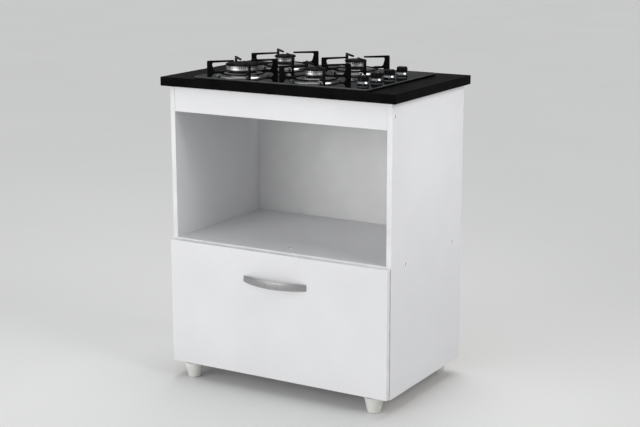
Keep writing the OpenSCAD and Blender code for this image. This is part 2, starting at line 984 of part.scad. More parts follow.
// Flame spreader: a ring with flame ports cut down from its upper edge
module flame_spreader(head_r) {
    wall = 4;
    lip = 3;
    in_r = head_r - neck_in - cup_wall;
    port_w = 2;
    port_h = 6;
    half_ports = round(head_r / 4);
    difference() {
        rotate_extrude()
            polygon([
                [in_r, 0], [head_r, 0], [head_r, head_h], [head_r - wall, head_h],
                [head_r - wall, lip], [in_r, lip]
            ]);
        translate([0, 0, head_h - port_h]) linear_extrude(height = port_h + over)
            for (i = [1:half_ports])
                rotate(180 / half_ports * i) square([2 * head_r + 2, port_w], center = true);
    }
}

module flame_spreaders() {
    placed(steel) for (b = burners)
        at_burner(b) translate([0, 0, head_z]) flame_spreader(b[2]);
}

// Enamelled cap with a domed edge and a skirt that centres it in the spreader
module burner_cap(head_r) {
    rim = head_r + cap_over;
    skirt_r = head_r - 4.5;
    skirt = 3;
    rotate_extrude()
        polygon([
            [0, 0], [skirt_r - 3, 0], [skirt_r - 3, -skirt], [skirt_r, -skirt], [skirt_r, 0],
            [rim - 1, 0], [rim, 1], [rim, cap_t * 0.55], [rim - 1.2, cap_t * 0.8], [rim - 4, cap_t],
            [0, cap_t]
        ]);
}

module burner_caps() {
    placed(black) for (b = burners)
        at_burner(b) translate([0, 0, head_z + head_h]) burner_cap(b[2]);
}

// Igniter: a ceramic post with a metal tip
module igniters() {
    placed(plastic) for (b = burners)
        at_igniter(b) {
            translate([0, 0, -glass_t - 12]) cylinder(d = igniter_d, h = glass_t + 12 + head_z);
            cylinder(d = 2, h = head_z + head_h / 2);
        }
}

// Gas tube under the taps, with the cabinet's gas inlet pointing down through the burner box
module gas_manifold() {
    start = near_y - tap_w / 2 - 4;
    placed(brass) difference() {
        union() {
            translate([knob_x, start, tube_z]) rotate([-90, 0, 0])
                cylinder(d = tube_d, h = inlet_y - start + tube_d / 2);
            translate([knob_x, inlet_y, 0]) {
                translate([0, 0, box_low - over]) cylinder(d = inlet_d - 2, h = tube_z - box_low + over);
                translate([0, 0, box_low - collar_t]) cylinder(d = collar_d, h = collar_t);
                translate([0, 0, box_low - collar_t - inlet_l]) cylinder(d = inlet_d, h = inlet_l);
            }
        }
        translate([knob_x, inlet_y, box_low - collar_t - inlet_l - over])
            cylinder(d = inlet_d - 8, h = inlet_l + collar_t + tube_d / 2 + over);
    }
}

// Tap body: a block saddled on the gas tube, bored for its plug
module gas_taps() {
    placed(brass) difference() {
        for (i = [0:3])
            translate([knob_x - tap_w / 2, knob_y(i) - tap_w / 2, tube_z])
                cube([tap_w, tap_w, tap_top - tube_z]);
        translate([knob_x, near_y - tap_w, tube_z]) rotate([-90, 0, 0])
            cylinder(d = tube_d + 2 * fit, h = burner_pitch_y + 2 * tap_w);
        for (i = [0:3]) {
            translate([knob_x, knob_y(i), tap_top - plug_l])
                cylinder(d = plug_d + 2 * fit, h = plug_l + over);
            gas_pipe(i, fit, nick);
        }
    }
}

// Pipe from a tap to its burner: straight left, then square to the burner where the rows differ
module gas_pipe(i, extra = 0, spare = 0) {
    b = burners[i];
    d = pipe_d + 2 * extra;
    start = knob_x - tap_w / 2 + pipe_seat + spare;
    seat = b[2] - neck_in - pipe_seat - spare;
    turn = b[1] - knob_y(i);
    if (abs(turn) < 1) {
        translate([start, b[1], pipe_z]) rotate([0, -90, 0]) cylinder(d = d, h = start - b[0] - seat);
    } else {
        translate([start, knob_y(i), pipe_z]) rotate([0, -90, 0]) cylinder(d = d, h = start - b[0]);
        translate([b[0], knob_y(i), pipe_z]) {
            sphere(d = d);
            rotate([turn > 0 ? -90 : 90, 0, 0]) cylinder(d = d, h = abs(turn) - seat);
        }
    }
}

module gas_pipes() {
    placed(steel) for (i = [0:3]) gas_pipe(i);
}

// One bar of a pan support, drawn from the axis outwards: finger, leg and the tie to the ring
module support_bar() {
    leg_in = support_r - leg_w;
    swell = 6;
    tie_end = ring_r - 8;
    tie_low = ring_z + ring_h - 2.4;
    tie_top = tie_low + tie_h;
    rotate([90, 0, 0]) linear_extrude(height = bar_t, center = true)
        polygon([
            [support_r, 0], [support_r, support_h - 2], [support_r - 2, support_h],
            [finger_r + 1, support_h], [finger_r, support_h - 1], [finger_r, support_h - finger_tip_h + 1],
            [finger_r + 1, support_h - finger_tip_h], [leg_in, support_h - finger_h],
            [leg_in - swell / 2, tie_top + 2 * swell], [leg_in - swell, tie_top + swell / 2],
            [leg_in - swell - 3, tie_top], [tie_end, tie_top], [tie_end, tie_low],
            [leg_in - swell, tie_low], [leg_in + 2, 0]
        ]);
}

module pan_support(b) {
    placed(black) at_burner(b) {
        for (a = [45:90:315]) rotate(a) support_bar();
        difference() {
            translate([0, 0, ring_z]) cylinder(r = ring_r + bar_t / 2, h = ring_h);
            translate([0, 0, ring_z - over]) cylinder(r = ring_r - bar_t / 2, h = ring_h + 2 * over);
        }
    }
}

module front_left_pan_support() {
    pan_support(burners[0]);
}

module front_right_pan_support() {
    pan_support(burners[1]);
}

module rear_left_pan_support() {
    pan_support(burners[2]);
}

module rear_right_pan_support() {
    pan_support(burners[3]);
}

// Round bar with one flat, the form of a tap's spindle and of the socket that takes it
module flatted(d, flat, h) {
    difference() {
        cylinder(d = d, h = h);
        translate([-d, flat, -over]) cube([2 * d, d, h + 2 * over]);
    }
}

// Plug that turns in its tap and drives the knob's spindle by a flatted socket
module tap_plug(i) {
    top = tap_top + plug_rise;
    placed(brass) translate([knob_x, knob_y(i), 0]) difference() {
        translate([0, 0, tap_top - plug_l]) cylinder(d = plug_d, h = plug_l + plug_rise);
        translate([0, 0, top - socket_l])
            flatted(spindle_d + 2 * fit, spindle_flat + fit, socket_l + over);
    }
}

module front_left_tap_plug() {
    tap_plug(0);
}

module front_right_tap_plug() {
    tap_plug(1);
}

module rear_left_tap_plug() {
    tap_plug(2);
}

module rear_right_tap_plug() {
    tap_plug(3);
}

// Knob: a skirt, a tapered grip with a pointer groove, and the spindle that is moulded into it
module knob(i) {
    pointer_w = 2.4;
    low = tap_top + plug_rise - socket_l + knob_push + nick;
    placed(black) translate([knob_x, knob_y(i), 0]) {
        difference() {
            union() {
                translate([0, 0, knob_z]) cylinder(d = knob_d, h = skirt_h - 1.5);
                translate([0, 0, knob_z + skirt_h - 1.5])
                    cylinder(d1 = knob_d, d2 = knob_d - 3, h = 1.5);
                translate([0, 0, knob_z]) cylinder(d1 = grip_d, d2 = grip_d - 2.4, h = knob_h - 1);
                translate([0, 0, knob_z + knob_h - 1])
                    cylinder(d1 = grip_d - 2.4, d2 = grip_d - 4.4, h = 1);
            }
            translate([-pointer_w / 2, grip_d * 0.12, knob_z + knob_h - 1.2])
                cube([pointer_w, grip_d, 3]);
        }
        translate([0, 0, low]) flatted(spindle_d, spindle_flat, knob_z - low);
    }
}

module front_left_knob() {
    knob(0);
}

module front_right_knob() {
    knob(1);
}

module rear_left_knob() {
    knob(2);
}

module rear_right_knob() {
    knob(3);
}

left_side_panel();
right_side_panel();
bottom_panel();
oven_shelf();
shelf_batten();
front_fascia();
rear_top_rail();
lower_back_panel();
upper_back_panel();
worktop();
angle_brackets();
wood_screws();
panel_screws();
panel_dowels();
screw_caps();
back_nails();
feet();
drawer_front();
drawer_left_side();
drawer_right_side();
drawer_back();
drawer_bottom();
drawer_brackets();
drawer_wood_screws();
handle();
handle_screws();
left_cabinet_rail();
right_cabinet_rail();
left_drawer_rail();
right_drawer_rail();
front_left_roller();
front_right_roller();
rear_left_roller();
rear_right_roller();
cooktop_glass();
glass_seal();
burner_box();
cooktop_clamps();
drip_dishes();
burner_cups();
flame_spreaders();
burner_caps();
igniters();
gas_manifold();
gas_taps();
gas_pipes();
front_left_pan_support();
front_right_pan_support();
rear_left_pan_support();
rear_right_pan_support();
front_left_tap_plug();
front_right_tap_plug();
rear_left_tap_plug();
rear_right_tap_plug();
front_left_knob();
front_right_knob();
rear_left_knob();
rear_right_knob();
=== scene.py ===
import math

import bmesh
import bpy
from mathutils import Matrix, Vector


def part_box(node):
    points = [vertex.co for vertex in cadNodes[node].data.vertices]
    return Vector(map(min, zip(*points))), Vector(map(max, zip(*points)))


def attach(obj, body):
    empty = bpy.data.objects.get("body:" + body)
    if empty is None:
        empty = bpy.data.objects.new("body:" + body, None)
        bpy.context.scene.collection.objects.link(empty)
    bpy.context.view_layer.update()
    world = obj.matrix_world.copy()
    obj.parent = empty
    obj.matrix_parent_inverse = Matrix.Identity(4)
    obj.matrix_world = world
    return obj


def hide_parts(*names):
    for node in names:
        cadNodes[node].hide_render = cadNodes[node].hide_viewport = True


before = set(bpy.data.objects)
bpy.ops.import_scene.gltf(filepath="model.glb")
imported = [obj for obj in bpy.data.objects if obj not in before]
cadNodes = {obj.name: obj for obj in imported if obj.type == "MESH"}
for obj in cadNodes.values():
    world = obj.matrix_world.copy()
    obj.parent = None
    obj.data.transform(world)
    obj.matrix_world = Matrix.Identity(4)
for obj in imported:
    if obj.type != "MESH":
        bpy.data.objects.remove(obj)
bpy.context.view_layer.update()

scene = bpy.context.scene
scene.view_settings.view_transform = "Standard"
mm = 0.001
burnerPlaces = ("front_left", "front_right", "rear_left", "rear_right")
print("frame loaded:", len(cadNodes), "nodes")


# camera, as fitted to the cabinet's corners in the photograph
cameraSizes = {
    "place": (2.03373, -3.41622, 1.37673), "turn": 30.529, "tilt": 12.718, "roll": -0.134, "lens": 80.815,
    "sensor": 36.0, "clipEnd": 200.0}


def placeCamera(sizes):
    data = bpy.data.cameras.new("photoCamera")
    data.sensor_fit = "HORIZONTAL"
    data.sensor_width = sizes["sensor"]
    data.lens = sizes["lens"]
    data.clip_end = sizes["clipEnd"]
    camera = bpy.data.objects.new("photoCamera", data)
    scene.collection.objects.link(camera)
    turn = Matrix.Rotation(math.radians(sizes["turn"]), 4, "Z")
    tilt = Matrix.Rotation(math.radians(90 - sizes["tilt"]), 4, "X")
    roll = Matrix.Rotation(math.radians(sizes["roll"]), 4, "Z")
    camera.matrix_world = Matrix.Translation(sizes["place"]) @ turn @ tilt @ roll
    scene.camera = camera


placeCamera(cameraSizes)
print("camera placed")


# materials

def linear(hexText):
    parts = [int(hexText[i:i + 2], 16) / 255 for i in (1, 3, 5)]
    return tuple(p / 12.92 if p <= 0.04045 else ((p + 0.055) / 1.055) ** 2.4 for p in parts) + (1.0,)


def addNode(tree, kind, sockets=None, stops=None, **settings):
    node = tree.nodes.new(kind)
    for name, value in settings.items():
        setattr(node, name, value)
    for name, value in (sockets or {}).items():
        if isinstance(value, bpy.types.NodeSocket):
            tree.links.new(value, node.inputs[name])
        else:
            node.inputs[name].default_value = value
    if stops:
        ramp = node.color_ramp
        while len(ramp.elements) < len(stops):
            ramp.elements.new(0.5)
        for element, (at, colour) in zip(ramp.elements, stops):
            element.position = at
            element.color = linear(colour) if isinstance(colour, str) else (colour, colour, colour, 1.0)
    return node


def startMaterial(name):
    material = bpy.data.materials.new(name)
    material.use_nodes = True
    material.node_tree.nodes.clear()
    return material, material.node_tree


def closeMaterial(tree, tone, rough, relief, settings):
    shader = addNode(tree, "ShaderNodeBsdfPrincipled",
                     {"Base Color": tone.outputs["Color"], "Roughness": rough.outputs["Result"],
                      "Normal": relief.outputs["Normal"], **settings})
    addNode(tree, "ShaderNodeOutputMaterial", {"Surface": shader.outputs["BSDF"]})


# A finish made of soft patches from a dark to a light tone, and a finer grain that drives roughness and relief.
# patch and grain are the real sizes of the marks in mm, stretch squeezes them along an axis.
noiseSizes = {"patch": {"Detail": 3.0}, "grain": {"Detail": 4.0, "Roughness": 0.6}, "tones": (0.32, 0.68),
              "span": {"From Min": 0.3, "From Max": 0.7}}


def makeFinish(name, dark, light, patch, grain, rough, relief, strength=0.4, stretch=(1, 1, 1), space="Object",
               grained=False, metallic=0.0, ior=1.5, specular=0.5, shader=None):
    material, tree = startMaterial(name)
    place = addNode(tree, "ShaderNodeTexCoord").outputs[space]
    squeezed = addNode(tree, "ShaderNodeMapping", {"Vector": place, "Scale": stretch}).outputs["Vector"]
    patches = addNode(tree, "ShaderNodeTexNoise", {"Vector": place, "Scale": 1000 / patch, **noiseSizes["patch"]})
    grains = addNode(tree, "ShaderNodeTexNoise", {"Vector": squeezed, "Scale": 1000 / grain, **noiseSizes["grain"]})
    marks = grains.outputs["Fac"]
    tone = addNode(tree, "ShaderNodeValToRGB", {"Fac": marks if grained else patches.outputs["Fac"]},
                   stops=list(zip(noiseSizes["tones"], (dark, light))))
    gloss = addNode(tree, "ShaderNodeMapRange",
                    {"Value": marks, "To Min": rough[0], "To Max": rough[1], **noiseSizes["span"]})
    bump = addNode(tree, "ShaderNodeBump", {"Height": marks, "Strength": strength, "Distance": relief * mm})
    closeMaterial(tree, tone, gloss, bump, {"Metallic": metallic, "IOR": ior, "Specular IOR Level": specular,
                                            **(shader or {})})
    return material


def makeMetal(name, *tones, **sizes):
    return makeFinish(name, *tones, metallic=1.0, **sizes)


# melamine-faced board: hard white paper under resin, a fine even pearl in the gloss
melamine = makeFinish("whiteMelamine", "#E2E2E4", "#E8E8E9", patch=240, grain=1.6, rough=(0.34, 0.46), relief=0.03)
# ABS edge band: rolled on hot and scraped, so it is smoother and shows faint marks along its length
edgeBand = makeFinish("whiteEdgeBand", "#E0E0E1", "#EBEBEB", patch=60, grain=2.2, rough=(0.24, 0.36), relief=0.02,
                      ior=1.52)
# raw hardboard: pressed brown fibre, matt, with a leathery mottle
hardboard = makeFinish("rawHardboard", "#6F4D33", "#8D6746", patch=26, grain=1.1, rough=(0.62, 0.8), relief=0.12,
                       grained=True)
# lacquered hardboard: one coat of white over the smooth face, a little uneven
whiteBack = makeFinish("lacqueredHardboard", "#DCDCDC", "#E4E4E3", patch=90, grain=2.5, rough=(0.42, 0.58),
                       relief=0.05)
# high pressure laminate: black, with a fine crystal grain that breaks up the shine
laminate = makeFinish("blackLaminate", "#070708", "#0F0F10", patch=70, grain=1.3, rough=(0.24, 0.4), relief=0.04,
                      specular=0.01)
# tempered glass with black ceramic print below: deep gloss with hardly any marks
blackGlass = makeFinish("temperedBlackGlass", "#050506", "#09090A", patch=130, grain=45, rough=(0.03, 0.09),
                        relief=0.004, strength=0.1, ior=1.52, specular=0.06)
# ground glass edge: cut and polished, so the clear glass shows grey beside the print
groundEdge = makeFinish("groundGlassEdge", "#2C302F", "#3E4341", patch=40, grain=1.2, rough=(0.16, 0.28), relief=0.01,
                        ior=1.52)
# satin nickel on steel: brushed along the strip before plating
satinNickel = makeMetal("satinNickel", "#949494", "#B4B4B3", patch=30, grain=0.7, stretch=(0.03, 1, 1),
                        rough=(0.24, 0.38), relief=0.02, grained=True)
# zinc-plated steel: pale bluish metal, cloudy from the bath
zinc = makeMetal("zincPlatedSteel", "#A4A8AD", "#C2C5C8", patch=5, grain=0.9, rough=(0.28, 0.48), relief=0.02)
# galvanised sheet: spangled grey metal
galvanised = makeMetal("galvanisedSheet", "#8E9296", "#B4B7BA", patch=9, grain=2.0, rough=(0.34, 0.55), relief=0.02)
# white polypropylene: moulded, slightly creamy and waxy
polypropylene = makeFinish("whitePolypropylene", "#DADBD5", "#E4E5DF", patch=24, grain=0.8, rough=(0.38, 0.5),
                           relief=0.02, ior=1.49,
                           shader={"Subsurface Weight": 0.12, "Subsurface Radius": (0.004, 0.004, 0.003)})
# white polystyrene: small glossy mouldings, whiter than the board
polystyrene = makeFinish("whitePolystyrene", "#EBEBEA", "#F2F2F1", patch=7, grain=0.7, rough=(0.22, 0.34), relief=0.01,
                         ior=1.59)
# powder coat on rolled steel: white with a soft orange peel
powderCoat = makeFinish("whitePowderCoat", "#DFDFDB", "#E8E8E4", patch=30, grain=1.8, rough=(0.3, 0.42), relief=0.05)
# polished stainless steel: spun, so its rings run round the dish (UV: turn, then distance along the section)
polished = makeMetal("polishedStainless", "#969697", "#ACACAD", space="UV", patch=9, grain=1.2, stretch=(0.002, 1, 1),
                     rough=(0.1, 0.2), relief=0.01, grained=True)
# die-cast aluminium: dull silver, finely pitted by the die
castAluminium = makeMetal("castAluminium", "#9C9C9A", "#C6C6C3", patch=11, grain=0.8, rough=(0.36, 0.56), relief=0.04)
# turned aluminium: machined bright after casting, so rings of tool marks run round it
brightAluminium = makeMetal("turnedAluminium", "#A4A4A3", "#BABAB9", patch=8, grain=1.0, stretch=(0.2, 0.2, 1),
                            rough=(0.32, 0.42), relief=0.005)
# painted shade on aluminium: the neck of a burner, made dark and dull to stand in for the shade under the flame head
paintedNeckShade = makeMetal("paintedNeckShadeAluminium", "#1E1C1B", "#343130", patch=9, grain=0.9, rough=(0.5, 0.7), relief=0.03)
# black vitreous enamel: fired, satin, with the gentle ripple of the frit
enamel = makeFinish("blackEnamel", "#060607", "#0D0D0E", patch=30, grain=2.4, rough=(0.3, 0.48), relief=0.06, ior=1.52,
                    specular=0.04)
# alumina: cream ceramic, glazed
alumina = makeFinish("glazedAlumina", "#DDD8CB", "#ECE8DE", patch=4, grain=0.6, rough=(0.2, 0.34), relief=0.02,
                     ior=1.65)
# drawn brass: warm yellow metal, turned
brass = makeMetal("turnedBrass", "#A8823F", "#C9A55C", patch=8, grain=0.9, stretch=(1, 1, 0.2), rough=(0.24, 0.4),
                  relief=0.02)
# black phenolic: moulded knobs, near black with a low sheen
phenolic = makeFinish("blackPhenolic", "#060607", "#0C0C0D", patch=12, grain=0.9, rough=(0.28, 0.42), relief=0.02,
                      ior=1.58, specular=0.08)
# chrome plate: mirror bright
chrome = makeMetal("chromePlate", "#94969A", "#A4A6A9", patch=6, grain=3.0, rough=(0.05, 0.11), relief=0.004)
# closed-cell foam: matt black, finely pored
foam = makeFinish("blackFoam", "#121212", "#232323", patch=5, grain=0.8, rough=(0.8, 0.95), relief=0.2)
# beech: pale pinkish wood with short dark flecks along the grain
beech = makeFinish("beech", "#B98F63", "#D3AF85", patch=20, grain=1.6, stretch=(0.12, 1, 1), rough=(0.5, 0.66),
                   relief=0.05, grained=True)
# white marking paint in a knob's groove
markPaint = makeFinish("markPaint", "#D9D9D6", "#E6E6E4", patch=3, grain=0.6, rough=(0.45, 0.6), relief=0.02)


# chipboard: flakes of wood in glue, seen where an edge is left bare
chipSizes = {
    "flake": 2.2, "relief": 0.15, "strength": 0.5, "rough": (0.7, 0.92),
    "tones": ((0.1, "#8F6D45"), (0.5, "#B99767"), (0.9, "#D6BC90"))}


def makeChipboard(sizes):
    material, tree = startMaterial("bareChipboard")
    place = addNode(tree, "ShaderNodeTexCoord").outputs["Object"]
    flakes = addNode(tree, "ShaderNodeTexVoronoi", {"Vector": place, "Scale": 1000 / sizes["flake"]}).outputs
    tone = addNode(tree, "ShaderNodeValToRGB", {"Fac": flakes["Color"]}, stops=sizes["tones"])
    relief = addNode(tree, "ShaderNodeBump", {"Height": flakes["Distance"], "Strength": sizes["strength"],
                                              "Distance": sizes["relief"] * mm})
    smooth, coarse = sizes["rough"]
    rough = addNode(tree, "ShaderNodeMapRange", {"Value": flakes["Distance"], "To Min": smooth, "To Max": coarse})
    closeMaterial(tree, tone, rough, relief, {})
    return material


chipboard = makeChipboard(chipSizes)
print("materials made:", len(bpy.data.materials))


# mesh tools

def finishPiece(name, shape, materials, body, nodes):
    mesh = bpy.data.meshes.new(name)
    shape.to_mesh(mesh)
    shape.free()
    keepPiece(name, mesh, materials, body, nodes)


def keepPiece(name, mesh, materials, body, nodes):
    piece = bpy.data.objects.new(name, mesh)
    scene.collection.objects.link(piece)
    for place, material in enumerate(materials):  # clearing the list would also reset each face's choice
        if place < len(mesh.materials):
            mesh.materials[place] = material
        else:
            mesh.materials.append(material)
    if nodes:
        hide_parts(*nodes)
    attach(piece, body)


def outward(shape):
    bmesh.ops.recalc_face_normals(shape, faces=shape.faces[:])


# faces turned outward and smooth, with a crease wherever two of them meet at more than the angle
def shade(shape, angle=34):
    outward(shape)
    shape.normal_update()
    for face in shape.faces:
        face.smooth = True
    for edge in shape.edges:
        if len(edge.link_faces) == 2 and edge.calc_face_angle(0) > math.radians(angle):
            edge.smooth = False


# corners (x, y, radius) of an outline, with each corner rounded to its radius
def rounded(corners, steps=4, closed=True):
    outline = []
    count = len(corners)
    for i, (x, y, radius) in enumerate(corners):
        here = Vector((x, y))
        if radius <= 0 or (not closed and i in (0, count - 1)):
            outline.append((x, y))
            continue
        back = Vector(corners[i - 1][:2]) - here
        ahead = Vector(corners[(i + 1) % count][:2]) - here
        half = back.angle(ahead) / 2
        cut = min(radius / math.tan(half), back.length * 0.49, ahead.length * 0.49)
        radius = cut * math.tan(half)
        middle = here + (back.normalized() + ahead.normalized()).normalized() * (radius / math.sin(half))
        start = here + back.normalized() * cut - middle
        sweep = start.angle_signed(here + ahead.normalized() * cut - middle)
        for step in range(steps + 1):
            angle = -sweep * step / steps
            turned = Matrix.Rotation(angle, 2) @ start
            outline.append(tuple(middle + turned))
    return outline


# turns a section of (radius, height) points about a vertical axis; an end on the axis closes to a pole
def turnSection(shape, section, centre, steps, loop=False, material=0):
    uv = shape.loops.layers.uv.verify()
    rings = []
    along = [0.0]
    for i, (radius, height) in enumerate(section):
        if i:
            along.append(along[-1] + math.dist(section[i - 1], section[i]))
        count = 1 if radius < 1e-7 else steps
        rings.append([shape.verts.new((centre[0] + radius * math.cos(2 * math.pi * k / steps),
                                       centre[1] + radius * math.sin(2 * math.pi * k / steps),
                                       centre[2] + height)) for k in range(count)])
    pairs = list(range(len(rings) - 1)) + ([len(rings) - 1] if loop else [])
    for i in pairs:
        low, high = rings[i], rings[(i + 1) % len(rings)]
        if len(low) == len(high) == 1:
            continue
        far = along[i + 1] if i + 1 < len(along) else along[i] + math.dist(section[i], section[0])
        for k in range(steps):
            corners = []
            for ring, at, step in ((low, along[i], k), (low, along[i], k + 1), (high, far, k + 1), (high, far, k)):
                vert = ring[step % len(ring)]
                if vert not in [c[0] for c in corners]:
                    corners.append((vert, (step / steps, at)))
            face = shape.faces.new([c[0] for c in corners])
            face.material_index = material
            for corner, (vert, spot) in zip(face.loops, corners):
                corner[uv].uv = spot


# joins rings of equal length one after another, with flat ends
def joinRings(shape, rings, material=0):
    made = [[shape.verts.new(p) for p in ring] for ring in rings]
    faces = []
    for low, high in zip(made, made[1:]):
        for k in range(len(low)):
            n = (k + 1) % len(low)
            faces.append(shape.faces.new((low[k], low[n], high[n], high[k])))
    faces.append(shape.faces.new(made[0][::-1]))
    faces.append(shape.faces.new(made[-1]))
    for face in faces:
        face.material_index = material
    return faces


# points of an outline or section from mm to metres
def scaled(points):
    return [(x * mm, y * mm) for x, y in points]


# turns a section of corners (radius, height, rounding) in mm about a vertical axis
def lathe(shape, corners, centre, steps, soft=4, loop=False, material=0):
    turnSection(shape, scaled(rounded(corners, soft, closed=loop)), centre, steps, loop, material)


# takes another shape into this one
def takeIn(shape, part):
    mesh = bpy.data.meshes.new("part")
    part.to_mesh(mesh)
    part.free()
    shape.from_mesh(mesh)
    bpy.data.meshes.remove(mesh)


# the separate solids of a CAD node, each as its points
def solidsOf(node):
    shape = bmesh.new()
    shape.from_mesh(cadNodes[node].data)
    bmesh.ops.remove_doubles(shape, verts=shape.verts[:], dist=1e-6)
    left = set(shape.verts)
    solids = []
    while left:
        group, queue = [], [left.pop()]
        while queue:
            vert = queue.pop()
            group.append(vert.co.copy())
            for edge in vert.link_edges:
                other = edge.other_vert(vert)
                if other in left:
                    left.discard(other)
                    queue.append(other)
        solids.append(group)
    shape.free()
    solids.sort(key=lambda g: tuple(round(c, 5) for c in min(g, key=lambda p: tuple(p))))
    return solids


def boxOf(points):
    return [Vector(end(p[i] for p in points) for i in range(3)) for end in (min, max)]


# corners of a box seen from above, drawn in by an inset
def rectangle(low, high, inset=0.0):
    return [(low.x + inset, low.y + inset), (high.x - inset, low.y + inset),
            (high.x - inset, high.y - inset), (low.x + inset, high.y - inset)]


# middle of a box's underside
def footOf(low, high):
    return Vector(((low.x + high.x) / 2, (low.y + high.y) / 2, low.z))


# where a screw or nail sits: the top of its head, and the way its head faces
def headOf(points):
    low, high = boxOf(points)
    size = high - low
    axis = max(range(3), key=lambda i: size[i])
    middle = (low + high) / 2
    spread = []
    for end in (low, high):
        near = [p for p in points if abs(p[axis] - end[axis]) < 0.3 * mm]
        spread.append(max(sum((p[i] - middle[i]) ** 2 for i in range(3) if i != axis) for p in near))
    facing = Vector((0, 0, 0))
    facing[axis] = 1.0 if spread[1] > spread[0] else -1.0
    tip = middle.copy()
    tip[axis] = high[axis] if facing[axis] > 0 else low[axis]
    return tip, facing


def startTree(name, output, **inputs):
    tree = bpy.data.node_groups.new(name, "GeometryNodeTree")
    tree.is_modifier = True
    for label, kind in inputs.items():
        tree.interface.new_socket(name=label, in_out="INPUT", socket_type="NodeSocket" + kind)
    tree.interface.new_socket(name=output, in_out="OUTPUT", socket_type="NodeSocketGeometry")
    return tree, addNode(tree, "NodeGroupInput").outputs


# the last nodes of a tree: real meshes with their finish
def closeTree(tree, pieces, finish, output):
    real = addNode(tree, "GeometryNodeRealizeInstances", {"Geometry": pieces})
    painted = addNode(tree, "GeometryNodeSetMaterial", {"Geometry": real.outputs["Geometry"], "Material": finish})
    addNode(tree, "NodeGroupOutput", {output: painted.outputs["Geometry"]})
    return tree


# Geometry Nodes: one piece at every point of a mesh, turned by the points' own "turn"
def makeRepeatTree():
    tree, given = startTree("repeatPiece", "Pieces", Places="Geometry", Piece="Object", Finish="Material")
    piece = addNode(tree, "GeometryNodeObjectInfo", {"Object": given["Piece"]})
    turn = addNode(tree, "GeometryNodeInputNamedAttribute", {"Name": "turn"}, data_type="FLOAT_VECTOR")
    angles = addNode(tree, "FunctionNodeEulerToRotation", {"Euler": turn.outputs["Attribute"]})
    spread = addNode(tree, "GeometryNodeInstanceOnPoints",
                     {"Points": given["Places"], "Instance": piece.outputs["Geometry"],
                      "Rotation": angles.outputs["Rotation"]})
    return closeTree(tree, spread.outputs["Instances"], given["Finish"], "Pieces")


# Geometry Nodes: a ring of upright blocks about an axis, such as flame teeth or the ribs of a grip
def makeRingTree():
    tree, given = startTree("ringOfTeeth", "Teeth", Count="Int", Radius="Float", Tooth="Vector", Centre="Vector",
                            Finish="Material")
    circle = addNode(tree, "GeometryNodeMeshCircle", {"Vertices": given["Count"], "Radius": given["Radius"]})
    place = addNode(tree, "GeometryNodeInputPosition")
    facing = addNode(tree, "FunctionNodeAlignRotationToVector", {"Vector": place.outputs["Position"]}, axis="X")
    tooth = addNode(tree, "GeometryNodeMeshCube", {"Size": given["Tooth"]})
    spread = addNode(tree, "GeometryNodeInstanceOnPoints",
                     {"Points": circle.outputs["Mesh"], "Instance": tooth.outputs["Mesh"],
                      "Rotation": facing.outputs["Rotation"]})
    moved = addNode(tree, "GeometryNodeTransform",
                    {"Geometry": spread.outputs["Instances"], "Translation": given["Centre"]})
    return closeTree(tree, moved.outputs["Geometry"], given["Finish"], "Teeth")


repeatTree = makeRepeatTree()
ringTree = makeRingTree()


# runs a tree on a mesh with the given inputs, and hands back the plain mesh it makes
def growMesh(name, tree, mesh, values):
    carrier = bpy.data.objects.new(name + "Carrier", mesh)
    scene.collection.objects.link(carrier)
    modifier = carrier.modifiers.new("grow", "NODES")
    modifier.node_group = tree
    for socket in tree.interface.items_tree:
        if socket.item_type == "SOCKET" and socket.in_out == "INPUT" and socket.name in values:
            modifier[socket.identifier] = values[socket.name]
    bpy.context.view_layer.update()
    grown = bpy.data.meshes.new_from_object(carrier.evaluated_get(bpy.context.evaluated_depsgraph_get()))
    carrier.modifiers.remove(modifier)
    bpy.data.objects.remove(carrier)
    return grown


# one piece made of a small part set at many heads or caps
def repeatPart(name, part, places, material, body, nodes):
    points = bpy.data.meshes.new(name + "Places")
    points.from_pydata([tuple(spot) for spot, facing in places], [], [])
    turn = points.attributes.new("turn", "FLOAT_VECTOR", "POINT")
    for i, (spot, facing) in enumerate(places):
        turn.data[i].vector = facing.to_track_quat("Z", "Y").to_euler()
    mesh = bpy.data.meshes.new(name + "Part")
    part.to_mesh(mesh)
    part.free()
    single = bpy.data.objects.new(name + "Part", mesh)
    scene.collection.objects.link(single)
    grown = growMesh(name, repeatTree, points, {"Piece": single, "Finish": material})
    bpy.data.objects.remove(single)
    keepPiece(name, grown, [material], body, nodes)


# rings of teeth about several centres, joined to one mesh
def growRings(name, rings, material):
    shape = bmesh.new()
    for i, ring in enumerate(rings):
        mesh = growMesh(name + str(i), ringTree, bpy.data.meshes.new(name + str(i)), dict(ring, Finish=material))
        shape.from_mesh(mesh)
        bpy.data.meshes.remove(mesh)
    return shape


# boards: faces of melamine, edges of band with a small radius, bare chipboard where nobody looks
boardSizes = {"edgeRadius": 0.9, "edgeShare": 0.3, "edgeSteps": 3}


def makeBoard(node, body, bare, materials, sizes):
    low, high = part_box(node)
    size = high - low
    shape = bmesh.new()
    bmesh.ops.create_cube(shape, size=1.0)
    for vert in shape.verts:
        vert.co = Vector(low[i] + (vert.co[i] + 0.5) * size[i] for i in range(3))
    shape.normal_update()
    thin = min(range(3), key=lambda i: size[i])
    for face in shape.faces:
        axis = max(range(3), key=lambda i: abs(face.normal[i]))
        side = ("+" if face.normal[axis] > 0 else "-") + "xyz"[axis]
        face.material_index = 2 if side in bare else (0 if axis == thin else 1)
    edge = min(sizes["edgeRadius"] * mm, size[thin] * sizes["edgeShare"])
    rim = bmesh.ops.bevel(shape, geom=shape.edges[:], offset=edge, segments=sizes["edgeSteps"], profile=0.5,
                          affect="EDGES", clamp_overlap=True, material=1)
    for face in rim["faces"]:
        face.smooth = True
    finishPiece(node + "Board", shape, materials, body, [node])


